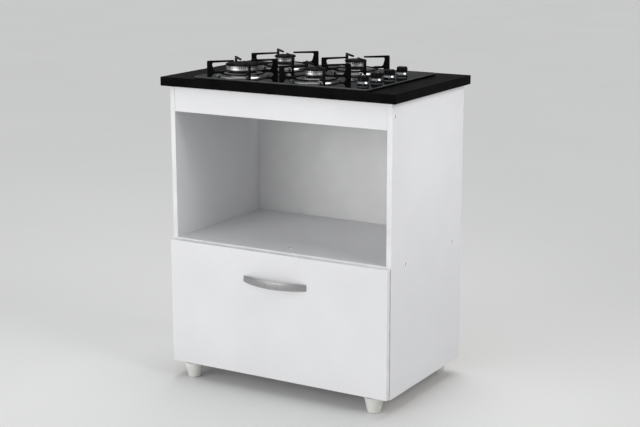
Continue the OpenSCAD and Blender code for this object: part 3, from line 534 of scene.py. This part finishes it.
for node, body, bare in (("left_side_panel", "cabinet", "-z +y"), ("right_side_panel", "cabinet", "-z +y"),
                         ("bottom_panel", "cabinet", "+y"), ("oven_shelf", "cabinet", "+y"),
                         ("shelf_batten", "cabinet", "+z"), ("front_fascia", "cabinet", "+z"),
                         ("rear_top_rail", "cabinet", "+z"), ("drawer_front", "drawer", ""),
                         ("drawer_left_side", "drawer", "-z +y"), ("drawer_right_side", "drawer", "-z +y"),
                         ("drawer_back", "drawer", "-z")):
    makeBoard(node, body, bare, [melamine, edgeBand, chipboard], boardSizes)
for node, body, bare in (("lower_back_panel", "cabinet", "+y"), ("upper_back_panel", "cabinet", "+y"),
                         ("drawer_bottom", "drawer", "-z")):
    makeBoard(node, body, bare, [whiteBack, hardboard, hardboard], boardSizes)
print("boards made")


# worktop: black laminate on all outer faces, bare chipboard inside the cut-out
worktopSizes = {"cutGap": 5.0, "edgeRadius": 1.2, "edgeSteps": 3}


def makeWorktop(sizes):
    low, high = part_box("worktop")
    outer, inner = rectangle(low, high), rectangle(*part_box("burner_box"), -sizes["cutGap"] * mm)
    shape = bmesh.new()
    rings = [[shape.verts.new((x, y, z)) for x, y in line] for line, z in
             ((outer, high.z), (outer, low.z), (inner, low.z), (inner, high.z))]
    for i, ring in enumerate(rings):
        after = rings[(i + 1) % 4]
        for k in range(4):
            n = (k + 1) % 4
            face = shape.faces.new((ring[k], ring[n], after[n], after[k]))
            face.material_index = 1 if i == 2 else 0
    outward(shape)
    kept = set(rings[0] + rings[1])
    edges = [e for e in shape.edges if e.verts[0] in kept and e.verts[1] in kept]
    rim = bmesh.ops.bevel(shape, geom=edges, offset=sizes["edgeRadius"] * mm, segments=sizes["edgeSteps"],
                          profile=0.5, affect="EDGES")
    for face in rim["faces"]:
        face.smooth = True
    finishPiece("worktopSlab", shape, [laminate, chipboard], "cabinet", ["worktop"])


makeWorktop(worktopSizes)
print("worktop made")


# feet: tapered, hollow below, with a rounded tread
feetSizes = {
    "topRadius": 28.0, "treadRadius": 17.6, "treadRound": 4.0, "boreRadius": 7.0, "boreHeight": 41.0,
    "boreRound": 0.8, "shoulderRadius": 26.8, "shoulderDrop": 5.0, "shoulderRound": 6.0, "flange": 1.6,
    "flangeRound": 1.0, "topRound": 0.4, "steps": 72}


def makeFeet(sizes):
    shape = bmesh.new()
    bore, top, soft = sizes["boreRadius"], sizes["topRadius"], sizes["boreRound"]
    for points in solidsOf("feet"):
        low, high = boxOf(points)
        height = (high.z - low.z) / mm
        lathe(shape, [(0, sizes["boreHeight"], 0), (bore, sizes["boreHeight"], 0), (bore, 0, soft),
                      (sizes["treadRadius"], 0, sizes["treadRound"]),
                      (sizes["shoulderRadius"], height - sizes["shoulderDrop"], sizes["shoulderRound"]),
                      (top, height - sizes["flange"], sizes["flangeRound"]), (top, height, sizes["topRound"]),
                      (0, height, 0)], footOf(low, high), sizes["steps"], soft=5)
    shade(shape)
    finishPiece("taperedFeet", shape, [polypropylene], "cabinet", ["feet"])


makeFeet(feetSizes)
print("feet made")


# bow handle: a strip bent to an arc, widest at its middle, on two bosses
handleSizes = {
    "thick": 3.0, "endHeight": 18.0, "edge": 1.1, "bossRadius": 5.0, "bossRound": 0.5, "bossEnd": 0.2,
    "bossSink": 2.0, "bossSteps": 40, "pitch": 160.0, "crease": 40, "steps": 64}


def makeHandle(sizes):
    low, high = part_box("handle")
    half = (high.x - low.x) / 2
    reach = high.y - low.y
    radius = (half ** 2 + reach ** 2) / (2 * reach)
    centre = Vector((0, low.y + radius, (low.z + high.z) / 2))
    widest = (high.z - low.z) / 2
    narrow = sizes["endHeight"] * mm / 2
    limit = math.asin(half / radius)
    thick = sizes["thick"] * mm
    edge = sizes["edge"] * mm
    shape = bmesh.new()
    rings = []
    for step in range(sizes["steps"] + 1):
        angle = -limit + 2 * limit * step / sizes["steps"]
        tall = widest - (widest - narrow) * (math.sin(angle) * radius / half) ** 2
        outline = rounded([(0, -tall, edge), (thick, -tall, edge), (thick, tall, edge), (0, tall, edge)])
        ring = []
        for depth, rise in outline:
            away = radius - depth
            back = min(centre.y - away * math.cos(angle), high.y)
            ring.append((centre.x + away * math.sin(angle), back, centre.z + rise))
        rings.append(ring)
    joinRings(shape, rings)
    across, boss = sizes["pitch"] * mm / 2, sizes["bossRadius"]
    deep = (high.y - centre.y + math.sqrt(radius ** 2 - across ** 2)) / mm - sizes["bossSink"]
    for side in (-1, 1):     # bosses, from the drawer front into the strip
        part = bmesh.new()
        lathe(part, [(0, 0, 0), (boss, 0, sizes["bossRound"]), (boss, deep, sizes["bossEnd"]), (0, deep, 0)],
              (0, 0, 0), sizes["bossSteps"], soft=3)
        seat = Matrix.Translation((side * across, high.y, centre.z))
        part.transform(seat @ Matrix.Rotation(math.radians(90), 4, "X"))
        takeIn(shape, part)
    shade(shape, sizes["crease"])
    finishPiece("bowHandle", shape, [satinNickel], "drawer", ["handle"])


makeHandle(handleSizes)
print("handle made")


# screws and nails, in mm; the profiles are shares of the head's radius and height, and of the shank's length
screwSizes = {
    "headRadius": 3.5, "headHeight": 1.4, "shankRadius": 1.75, "length": 12, "recess": 0.8, "recessWidth": 0.9,
    "recessReach": 2.1, "recessTaper": 0.8, "crown": 0.72, "headProfile": ((0.92, 0.8), (1.0, 0.4), (1.0, 0.0)),
    "shankTop": 0.1, "shankProfile": ((1.0, 0.75), (0.2, 1.0)), "crease": 40}
handleScrewSizes = dict(screwSizes, headRadius=4.0, headHeight=2.4, shankRadius=2.0, length=22, recess=1.4,
                        recessWidth=1.1, recessReach=2.4)
nailSizes = dict(screwSizes, headRadius=2.6, headHeight=0.8, shankRadius=0.8, length=18, recess=0.12,
                 recessWidth=0.5, recessReach=1.0)


# pan head with a cross recess, its underside at the origin and its shank going down
def screwPart(sizes):
    shape = bmesh.new()
    top, wide, arm = sizes["headHeight"] * mm, sizes["headRadius"] * mm, sizes["recessWidth"] * mm / 2
    reach, floor = sizes["recessReach"] * mm, top - sizes["recess"] * mm
    thin, length, taper = sizes["shankRadius"] * mm, sizes["length"] * mm, sizes["recessTaper"]
    cross = []
    for k in range(4):
        turn = Matrix.Rotation(math.radians(90 * k), 2)
        for x, y in ((arm, -arm), (reach, -arm), (reach, arm)):
            cross.append(turn @ Vector((x, y)))
    levels = [(wide * sizes["crown"], top)] + [(wide * share, top * rise) for share, rise in sizes["headProfile"]]
    levels.append((thin, -sizes["shankTop"] * mm))
    levels += [(thin * share, -length * drop) for share, drop in sizes["shankProfile"]]
    rings = [[(p.x * taper, p.y * taper, floor) for p in cross], [(p.x, p.y, top) for p in cross]]
    for radius, z in levels:     # rings that follow the cross, so that all have twelve points
        rings.append([(*(p.normalized() * radius), z) for p in cross])
    joinRings(shape, rings)
    shade(shape, sizes["crease"])
    return shape


def makeScrews(name, node, body, sizes):
    places = []
    for points in solidsOf(node):
        tip, facing = headOf(points)
        places.append((tip - facing * sizes["headHeight"] * mm, facing))
    repeatPart(name, screwPart(sizes), places, zinc, body, [node])
    return len(places)


woodCount = makeScrews("woodScrews", "wood_screws", "cabinet", screwSizes)
drawerCount = makeScrews("drawerScrews", "drawer_wood_screws", "drawer", screwSizes)
makeScrews("handleScrews", "handle_screws", "drawer", handleScrewSizes)
nailCount = makeScrews("backNails", "back_nails", "cabinet", nailSizes)


# screw caps: a low dome on a lip, with a painted shadow near its rim: a dark crescent laid on the cap
capSizes = {
    "radius": 7.0, "rise": 1.8, "lip": 0.4, "lipRound": 0.2, "undercut": 0.9, "stand": 0.6, "standRound": 0.1,
    "crown": 0.86, "crownRound": 0.5, "steps": 40, "shadowReach": 6.0, "shadowWide": 3.0, "shadowTurn": 75,
    "shadowDeep": 0.4, "shadowProud": 0.03, "shadowSteps": 14}


def makeCaps(sizes):
    wide, rise, stand = sizes["radius"], sizes["rise"], sizes["stand"]
    neck = wide - sizes["undercut"]
    shape = bmesh.new()
    lathe(shape, [(0, 0, 0), (neck, 0, 0), (neck, stand, 0), (wide, stand, sizes["standRound"]),
                  (wide, stand + sizes["lip"], sizes["lipRound"]),
                  (wide * sizes["crown"], rise, sizes["crownRound"]), (0, rise, 0)], (0, 0, 0), sizes["steps"])
    shade(shape)
    places = []
    for points in solidsOf("screw_caps"):
        low, high = boxOf(points)
        size = high - low
        axis = min(range(3), key=lambda i: size[i])
        facing = Vector((0, 0, 0))
        spot = (low + high) / 2
        facing[axis] = 1.0 if axis == 2 or spot[axis] > 0 else -1.0
        spot[axis] = low[axis] if facing[axis] > 0 else high[axis]
        places.append((spot, facing))
    repeatPart("screwCaps", shape, places, polystyrene, "cabinet", ["screw_caps"])
    # painted shadow: a thin dark crescent on each cap, standing in for the shadow the raised cap casts on its far side
    shadowCrescent = bmesh.new()
    reach, steps = sizes["shadowReach"], sizes["shadowSteps"]
    angles = [math.radians(sizes["shadowTurn"] * (2 * i / steps - 1)) for i in range(steps + 1)]
    outer = [(reach * math.cos(angle), reach * math.sin(angle)) for angle in angles]
    inner = [(x - sizes["shadowWide"] * (1 - (y / outer[-1][1]) ** 2), y) for x, y in reversed(outer[1:-1])]
    ends = (rise - sizes["shadowDeep"], rise + sizes["shadowProud"])
    joinRings(shadowCrescent, [[(x, y, z * mm) for x, y in scaled(outer + inner)] for z in ends])
    outward(shadowCrescent)
    repeatPart("capNotches", shadowCrescent, places, phenolic, "cabinet", ())


makeCaps(capSizes)
print("fasteners made:", woodCount, drawerCount, nailCount)


# cooktop glass: one plate with rounded corners and a ground bevel all round
glassSizes = {"cornerRadius": 10.0, "bevel": 2.5, "arris": 0.6, "steps": 10, "crease": 30}


def makeGlass(sizes):
    low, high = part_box("cooktop_glass")

    def outline(inset, z):
        radius = sizes["cornerRadius"] * mm - inset
        corners = [(x, y, radius) for x, y in rectangle(low, high, inset)]
        return [(x, y, z) for x, y in rounded(corners, sizes["steps"])]

    arris, bevel = sizes["arris"] * mm, sizes["bevel"] * mm
    levels = [(arris, low.z), (0, low.z + arris), (0, high.z - bevel), (0.1 * arris, high.z - bevel + 0.5 * arris),
              (bevel - 0.5 * arris, high.z - 0.1 * arris), (bevel + arris, high.z)]
    shape = bmesh.new()
    rings = [outline(inset, z) for inset, z in levels]
    faces = joinRings(shape, rings)
    count = len(rings[0])
    for face in faces[2 * count:4 * count]:     # the bevel
        face.material_index = 1
    shade(shape, sizes["crease"])
    finishPiece("cooktopGlass", shape, [blackGlass, groundEdge], "cabinet", ["cooktop_glass"])


makeGlass(glassSizes)
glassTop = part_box("cooktop_glass")[1].z
print("glass made")


# burners: centre, radius of the flame spreader and of the dish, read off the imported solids
burners = []
for points in solidsOf("flame_spreaders"):
    low, high = boxOf(points)
    burners.append({"foot": footOf(low, high), "head": (high.x - low.x) / 2, "headHigh": high.z})
for points in solidsOf("drip_dishes"):
    low, high = boxOf(points)
    for burner in burners:
        if math.dist(burner["foot"][:2], footOf(low, high)[:2]) < 10 * mm:
            burner["dish"] = (high.x - low.x) / 2

burnerSizes = {
    "seat": 0.05, "dishRim": 4.0, "dishSheet": 0.8, "dishBead": 7.0, "dishSlope": 5.0, "dishStep": 1.4,
    "dishRise": 1.5, "dishRoll": 1.6, "dishGap": 2.0, "neckIn": 5.0, "neckStep": 3.0, "jetBore": 6.0, "cupWall": 6.0,
    "cupDrop": 31.5, "collarOver": 3.0, "collarTop": 9.8, "collarFall": 3.0, "collarSlope": 2.0, "shadeSkin": 0.1,
    "shadeRoot": 1.0, "shadeSink": 0.2, "shadeEdge": 4.5, "shadeFillet": (0.5, 0.6), "headStand": 17.0,
    "headChamfer": 1.2, "headWall": 3.8, "headFloor": 3.0, "toothPitch": 5.4, "toothWidth": 3.4, "toothHeight": 6.0,
    "toothDepth": 3.6, "toothSink": 0.1, "capRise": 6.0, "capOver": 3.0, "capLip": 0.6, "capShoulder": (3.4, 0.5),
    "capCrown": 10.0, "skirtIn": 4.5, "skirtWall": 3.0, "skirtDrop": 3.0, "steps": 96}


def makeBurners(sizes):
    steps = sizes["steps"]
    dishes, cups, heads, caps = bmesh.new(), bmesh.new(), bmesh.new(), bmesh.new()
    rings = []
    for burner in burners:
        (x, y, headLow), headHigh = burner["foot"], burner["headHigh"]
        r, rim = burner["head"] / mm, burner["dish"] / mm
        centre, seat, sheet = (x, y, glassTop), sizes["seat"], sizes["dishSheet"]
        cup, collar = r - sizes["neckIn"], r + sizes["collarOver"]
        # spun dish: flat floor, one step, a raised bead and a rolled rim
        inside, bead, high = cup + sizes["dishGap"], rim - sizes["dishBead"], sizes["dishRim"]
        foot, tread = bead - sizes["dishSlope"], sheet + sizes["dishStep"]
        step = (collar + foot) / 2
        lathe(dishes, [(inside, seat, 0), (inside, sheet, 0.3), (step, sheet, 1.0),
                       (step + sizes["dishRise"], tread, 1.0), (foot, tread, 1.5), (bead, high, 2),
                       (rim - sizes["dishRoll"], high, 1.5), (rim, seat, 0.4)], centre, steps, loop=True)
        # cup: collar that clamps the dish, and a narrow neck under the head
        bore, drop, stand, top = sizes["jetBore"], sizes["cupDrop"], sizes["headStand"], sizes["collarTop"]
        neck, wall = cup - sizes["neckStep"], cup - sizes["cupWall"]
        floor = sizes["cupWall"] - drop
        lathe(cups, [(bore, -drop, 0), (cup, -drop, 1), (cup, sheet, 0), (collar, sheet, 0.3),
                     (collar, top - sizes["collarFall"], 1.0), (collar - sizes["collarSlope"], top, 0.8),
                     (neck, top, 1.0), (neck, stand, 0.2), (wall, stand, 0.2), (wall, floor, 2), (bore, floor, 0)],
              centre, steps, soft=3, loop=True)
        # painted shade: a thin dark skin on the neck and on the flat of the collar, standing in for the shade under
        # the head
        skin, root, (out, up) = sizes["shadeSkin"], neck - sizes["shadeRoot"], sizes["shadeFillet"]
        neckShade = [(root, top - sizes["shadeSink"]), (collar - sizes["shadeEdge"], top + skin), (neck + out, top + up),
                 (neck + skin, stand), (root, stand)]
        turnSection(cups, scaled(neckShade), centre, steps, loop=True, material=1)
        # head: a ring whose upper half is cut into teeth, so its solid part stops below them
        gum = (headHigh - headLow) / mm - sizes["toothHeight"]
        side, base, chamfer = r - sizes["headWall"], sizes["headFloor"], sizes["headChamfer"]
        lathe(heads, [(wall, 0, 0), (r - chamfer, 0, 0.4), (r, chamfer, 0.8), (r, gum, 0.2), (side, gum, 0.2),
                      (side, base, 0.6), (wall, base, 0)], burner["foot"], steps, soft=3, loop=True)
        deep, tooth = sizes["toothDepth"], sizes["toothHeight"] + sizes["toothSink"]
        rings.append({"Count": round(2 * math.pi * r / sizes["toothPitch"]),
                      "Radius": (r - deep / 2 - sizes["toothSink"]) * mm,
                      "Tooth": (deep * mm, sizes["toothWidth"] * mm, tooth * mm),
                      "Centre": (x, y, headHigh - tooth / 2 * mm)})
        # cap: a shallow pressed lid with a rolled edge and a locating skirt
        edge, rise, skirt = r + sizes["capOver"], sizes["capRise"], r - sizes["skirtIn"]
        hollow, hem, (shoulder, fall) = skirt - sizes["skirtWall"], -sizes["skirtDrop"], sizes["capShoulder"]
        lathe(caps, [(0, seat, 0), (hollow, seat, 0), (hollow, hem, 0.4), (skirt, hem, 0.4), (skirt, seat, 0.4),
                     (edge - sizes["capLip"], seat, 0.6), (edge, rise / 2, 1.4), (edge - shoulder, rise - fall, 3.0),
                     (edge - sizes["capCrown"], rise, 6), (0, rise, 0)], (x, y, headHigh), steps, soft=5)
    for shape, name, materials, node, slot in (
            (dishes, "spunDishes", [polished], "drip_dishes", "polished_steel"),
            # the second finish of the cups is painted shade on the neck
            (cups, "burnerCups", [brightAluminium, paintedNeckShade], "burner_cups", "cast_aluminium"),
            (heads, "flameHeads", [brightAluminium], "flame_spreaders", "cast_aluminium"),
            (caps, "enamelCaps", [enamel], "burner_caps", "black_enamel")):
        shade(shape)
        finishPiece(name, shape, materials, "cabinet", [node])
    teeth = growRings("flameTeeth", rings, brightAluminium)
    finishPiece("flameTeeth", teeth, [brightAluminium], "cabinet", ())


makeBurners(burnerSizes)
print("burners made:", len(burners))


# igniters: glazed ceramic sleeve with a steel electrode
igniterSizes = {
    "sleeve": 2.5, "glazeIn": 0.3, "glazeFrom": 6.0, "glazeTo": 5.4, "mouth": 0.9, "mouthRise": 0.2, "wire": 1.0,
    "wireReach": 6.5, "wireSink": 1.0, "tip": 0.4, "tipHigh": 1.0, "steps": 32, "wireSteps": 20}


def makeIgniters(sizes):
    shape = bmesh.new()
    sleeve, wire = sizes["sleeve"], sizes["wire"]
    glaze = sleeve - sizes["glazeIn"]
    for points in solidsOf("igniters"):
        low, high = boxOf(points)
        centre, tall = footOf(low, high), (high.z - low.z) / mm
        top = tall - sizes["wireReach"]
        lathe(shape, [(0, 0, 0), (sleeve, 0, 0), (sleeve, top - sizes["glazeFrom"], 0),
                      (glaze, top - sizes["glazeTo"], 0.2), (glaze, top, 0.8),
                      (sizes["mouth"], top + sizes["mouthRise"], 0)], centre, sizes["steps"])
        lathe(shape, [(wire, top - sizes["wireSink"], 0), (wire, tall - sizes["tipHigh"], 0.3),
                      (sizes["tip"], tall, 0.2), (0, tall, 0)], centre, sizes["wireSteps"], material=1)
    shade(shape)
    finishPiece("igniterPosts", shape, [alumina, zinc], "cabinet", ["igniters"])


makeIgniters(igniterSizes)
print("igniters made")


# pan supports: four flat bars bent over the burner, tied by a ring, enamelled
supportSizes = {
    "reach": 99.0, "thick": 5.0, "leg": 13.0, "toe": 2.0, "swell": 6.0, "fingerHigh": 6.0, "tipHigh": 4.5,
    "tipRadius": 24.0, "ringRadius": 60.0, "ringLow": 6.5, "ringHigh": 4.0, "ringRound": 1.4, "tieEnd": 52.0,
    "tieLow": 8.1, "tieHigh": 6.5, "tieFall": 0.5, "edge": 0.9, "edgeSteps": 3, "crease": 50, "steps": 96}


def makeSupport(place, sizes):
    node = place + "_pan_support"
    low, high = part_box(node)
    centre, tall = footOf(low, high), (high.z - low.z) / mm
    out, leg, swell, half = sizes["reach"], sizes["reach"] - sizes["leg"], sizes["swell"], sizes["thick"] / 2
    tip, tieEnd = sizes["tipRadius"], sizes["tieEnd"]
    tieLow, tieTop = sizes["tieLow"], sizes["tieLow"] + sizes["tieHigh"]
    outline = rounded([(out, 0, 0.8), (out, tall, 3.0), (tip, tall, 1.4), (tip, tall - sizes["tipHigh"], 1.4),
                       (leg, tall - sizes["fingerHigh"], 4.0), (leg - swell / 2, tieTop + 2 * swell, 20.0),
                       (leg - swell - sizes["tieFall"], tieTop, 7.0), (tieEnd, tieTop, 2.0), (tieEnd, tieLow, 2.0),
                       (leg - swell, tieLow, 3.0), (leg + sizes["toe"], 0, 0.8)])
    shape = bmesh.new()
    for k in range(4):
        bar = bmesh.new()
        face = bar.faces.new([bar.verts.new((x, -half * mm, z)) for x, z in scaled(outline)])
        grown = bmesh.ops.extrude_face_region(bar, geom=[face])["geom"]
        moved = [v for v in grown if isinstance(v, bmesh.types.BMVert)]
        bmesh.ops.translate(bar, verts=moved, vec=(0, 2 * half * mm, 0))
        outward(bar)
        rim = [e for e in bar.edges if abs(e.verts[0].co.y - e.verts[1].co.y) < 1e-6]
        bmesh.ops.bevel(bar, geom=rim, offset=sizes["edge"] * mm, segments=sizes["edgeSteps"], profile=0.5,
                        affect="EDGES", clamp_overlap=True)
        bar.transform(Matrix.Translation(centre) @ Matrix.Rotation(math.radians(45 + 90 * k), 4, "Z"))
        takeIn(shape, bar)
    inner, outer, soft = sizes["ringRadius"] - half, sizes["ringRadius"] + half, sizes["ringRound"]
    ringLow, ringTop = sizes["ringLow"], sizes["ringLow"] + sizes["ringHigh"]
    lathe(shape, [(inner, ringLow, soft), (outer, ringLow, soft), (outer, ringTop, soft), (inner, ringTop, soft)],
          centre, sizes["steps"], loop=True)
    shade(shape, sizes["crease"])
    finishPiece(place + "PanSupport", shape, [enamel], node, [node])


for place in burnerPlaces:
    makeSupport(place, supportSizes)
print("pan supports made")


# knobs: chromed skirt, black grip with fine ribs, a painted pointer
knobSizes = {
    "high": 21.0, "grip": 15.0, "gripTop": 14.2, "gripFoot": 1.0, "crownIn": 2.0, "crownDrop": 2.2, "crownDish": 0.3,
    "skirt": 18.0, "skirtHigh": 6.0, "skirtBore": 3.0, "skirtFoot": 0.4, "skirtEdge": 1.2, "skirtWaist": (1.6, 4.0),
    "skirtLip": 0.6, "skirtInside": 1.5, "skirtFall": 0.5, "spindle": 2.9, "spindleTop": 1.5, "spindleSteps": 24,
    "pointer": 2.0, "pointerFrom": 4.0, "pointerStop": 2.4, "pointerSoft": 0.9, "pointerDeep": 0.9,
    "pointerSink": 0.02, "ribs": 28, "ribDepth": 1.1, "ribWidth": 1.5, "ribStop": 3.0, "ribProud": 0.15,
    "ribRound": 0.25, "steps": 72}


def makeKnob(place, sizes):
    node = place + "_knob"
    low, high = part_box(node)
    tall, grip, top, foot = sizes["high"], sizes["grip"], sizes["gripTop"], sizes["gripFoot"]
    base = high.z - tall * mm
    x, y, bottom = footOf(low, high)
    centre = (x, y, base)
    shape = bmesh.new()
    skirt, skirtHigh, bore = sizes["skirt"], sizes["skirtHigh"], sizes["skirtBore"]
    lathe(shape, [(0, foot, 0), (grip - foot, foot, 0), (grip, skirtHigh, 0.5), (top, tall - sizes["crownDrop"], 1.0),
                  (top - sizes["crownIn"], tall, 1.6), (0, tall - sizes["crownDish"], 0)], centre, sizes["steps"])
    out, waist = sizes["skirtWaist"]
    lathe(shape, [(bore, 0, 0), (skirt - sizes["skirtFoot"], 0, 0.4), (skirt, sizes["skirtEdge"], 0.6),
                  (grip + out, waist, 3.0), (grip + sizes["skirtLip"], skirtHigh, 0.5),
                  (grip - sizes["skirtInside"], skirtHigh, 0), (bore, skirtHigh - sizes["skirtFall"], 0)],
          centre, sizes["steps"], loop=True, material=1)
    tail, pin, pinTop = (bottom - base) / mm, sizes["spindle"], sizes["spindleTop"]
    turnSection(shape, scaled([(0, tail), (pin, tail), (pin, pinTop), (0, pinTop)]), centre, sizes["spindleSteps"],
                material=2)
    half, inner, outer = sizes["pointer"] / 2, sizes["pointerFrom"], top - sizes["pointerStop"]
    soft = half * sizes["pointerSoft"]
    mark = rounded([(-half, inner, soft), (half, inner, soft), (half, outer, 0.3), (-half, outer, 0.3)])
    ends = (tall - sizes["pointerDeep"], tall - sizes["pointerSink"])
    joinRings(shape, [[(x + across, y + along, base + z * mm) for across, along in scaled(mark)] for z in ends],
              material=3)
    shade(shape)
    finishPiece(place + "Knob", shape, [phenolic, chrome, zinc, markPaint], node, [node])
    ribHigh = tall - skirtHigh - sizes["ribStop"]
    ring = {"Count": sizes["ribs"], "Radius": (top + sizes["ribProud"]) * mm,
            "Tooth": (sizes["ribDepth"] * mm, sizes["ribWidth"] * mm, ribHigh * mm),
            "Centre": (x, y, base + (skirtHigh + ribHigh / 2) * mm)}
    ribs = growRings(place + "KnobRibs", [ring], phenolic)
    bmesh.ops.remove_doubles(ribs, verts=ribs.verts[:], dist=1e-7)
    bmesh.ops.bevel(ribs, geom=ribs.edges[:], offset=sizes["ribRound"] * mm, segments=1, affect="EDGES")
    finishPiece(place + "KnobRibs", ribs, [phenolic], node, ())


for place in burnerPlaces:
    makeKnob(place, knobSizes)
print("knobs made")


# solids that keep their CAD shape get their finish here
cadFinishes = {node: material for material, nodes in (
    (zinc, ["angle_brackets", "panel_screws", "drawer_brackets", "cooktop_clamps"]),
    (beech, ["panel_dowels"]),
    (powderCoat, ["left_cabinet_rail", "right_cabinet_rail", "left_drawer_rail", "right_drawer_rail"]),
    (polypropylene, [place + "_roller" for place in burnerPlaces]),
    (foam, ["glass_seal"]),
    (galvanised, ["burner_box"]),
    (castAluminium, ["gas_pipes"]),
    (brass, ["gas_manifold", "gas_taps"] + [place + "_tap_plug" for place in burnerPlaces])) for node in nodes}
for node, material in cadFinishes.items():
    cadNodes[node].data.materials.clear()
    cadNodes[node].data.materials.append(material)
print("CAD nodes painted:", len(cadFinishes))


# stage: pale floor, a dome of soft light that is brightest in front, one wide lamp overhead,
# gridded softboxes in front and to the right (metres, watts, degrees)
stageSizes = {"floor": 60.0, "floorTone": ("#D9D9D8", "#DBDBDA"), "front": (-0.15, -0.9, 0.41),
              "dome": ((0.0, "#5C5C5C"), (0.35, "#808081"), (0.6, "#A4A5A7"), (0.75, "#BCBEC2"), (1.0, "#D6D6D6")),
              "overhead": ((-0.1, 0.35, 1.0), 1.4, 45.0),
              "boxes": (("frontBox", (-1.5, -3.4, 1.1), (0.0, -0.2, 0.7), (3.2, 1.9), 11.0, 70.0),
                        ("rightBox", (2.1, -0.15, 1.9), (0.35, 0.05, 0.95), (1.6, 1.3), 5.6, 70.0))}


def addLamp(name, kind, away, power, **settings):
    data = bpy.data.lights.new(name, kind)
    data.energy = power
    for label, value in settings.items():
        setattr(data, label, value)
    lamp = bpy.data.objects.new(name, data)
    lamp.rotation_euler = Vector(away).to_track_quat("Z", "Y").to_euler()
    scene.collection.objects.link(lamp)
    return lamp


def setStage(sizes):
    shape = bmesh.new()
    bmesh.ops.create_grid(shape, x_segments=8, y_segments=8, size=sizes["floor"])
    mesh = bpy.data.meshes.new("paleFloor")
    shape.to_mesh(mesh)
    shape.free()
    floor = bpy.data.objects.new("paleFloor", mesh)
    scene.collection.objects.link(floor)
    dark, light = sizes["floorTone"]
    # painted concrete: broad soft patches, hardly any shine
    mesh.materials.append(makeFinish("palePaintedFloor", dark, light, patch=900, grain=30, rough=(0.7, 0.8),
                                     relief=0.05, specular=0.2))
    away, power, spread = sizes["overhead"]
    addLamp("overhead", "SUN", away, power, angle=math.radians(spread))
    for name, place, target, (wide, high), power, spread in sizes["boxes"]:
        lamp = addLamp(name, "AREA", Vector(place) - Vector(target), power, shape="RECTANGLE", size=wide, size_y=high,
                       spread=math.radians(spread))
        lamp.location = place
    world = bpy.data.worlds.new("studio")
    scene.world = world
    world.use_nodes = True
    tree = world.node_tree
    tree.nodes.clear()
    way = addNode(tree, "ShaderNodeTexCoord").outputs["Generated"]
    facing = addNode(tree, "ShaderNodeVectorMath", {0: way, 1: sizes["front"]}, operation="DOT_PRODUCT")
    share = addNode(tree, "ShaderNodeMapRange", {"Value": facing.outputs["Value"], "From Min": -1.0})
    dome = addNode(tree, "ShaderNodeValToRGB", {"Fac": share.outputs["Result"]}, stops=sizes["dome"])
    sky = addNode(tree, "ShaderNodeBackground", {"Color": dome.outputs["Color"]})
    addNode(tree, "ShaderNodeOutputWorld", {"Surface": sky.outputs["Background"]})


setStage(stageSizes)
print("stage set")
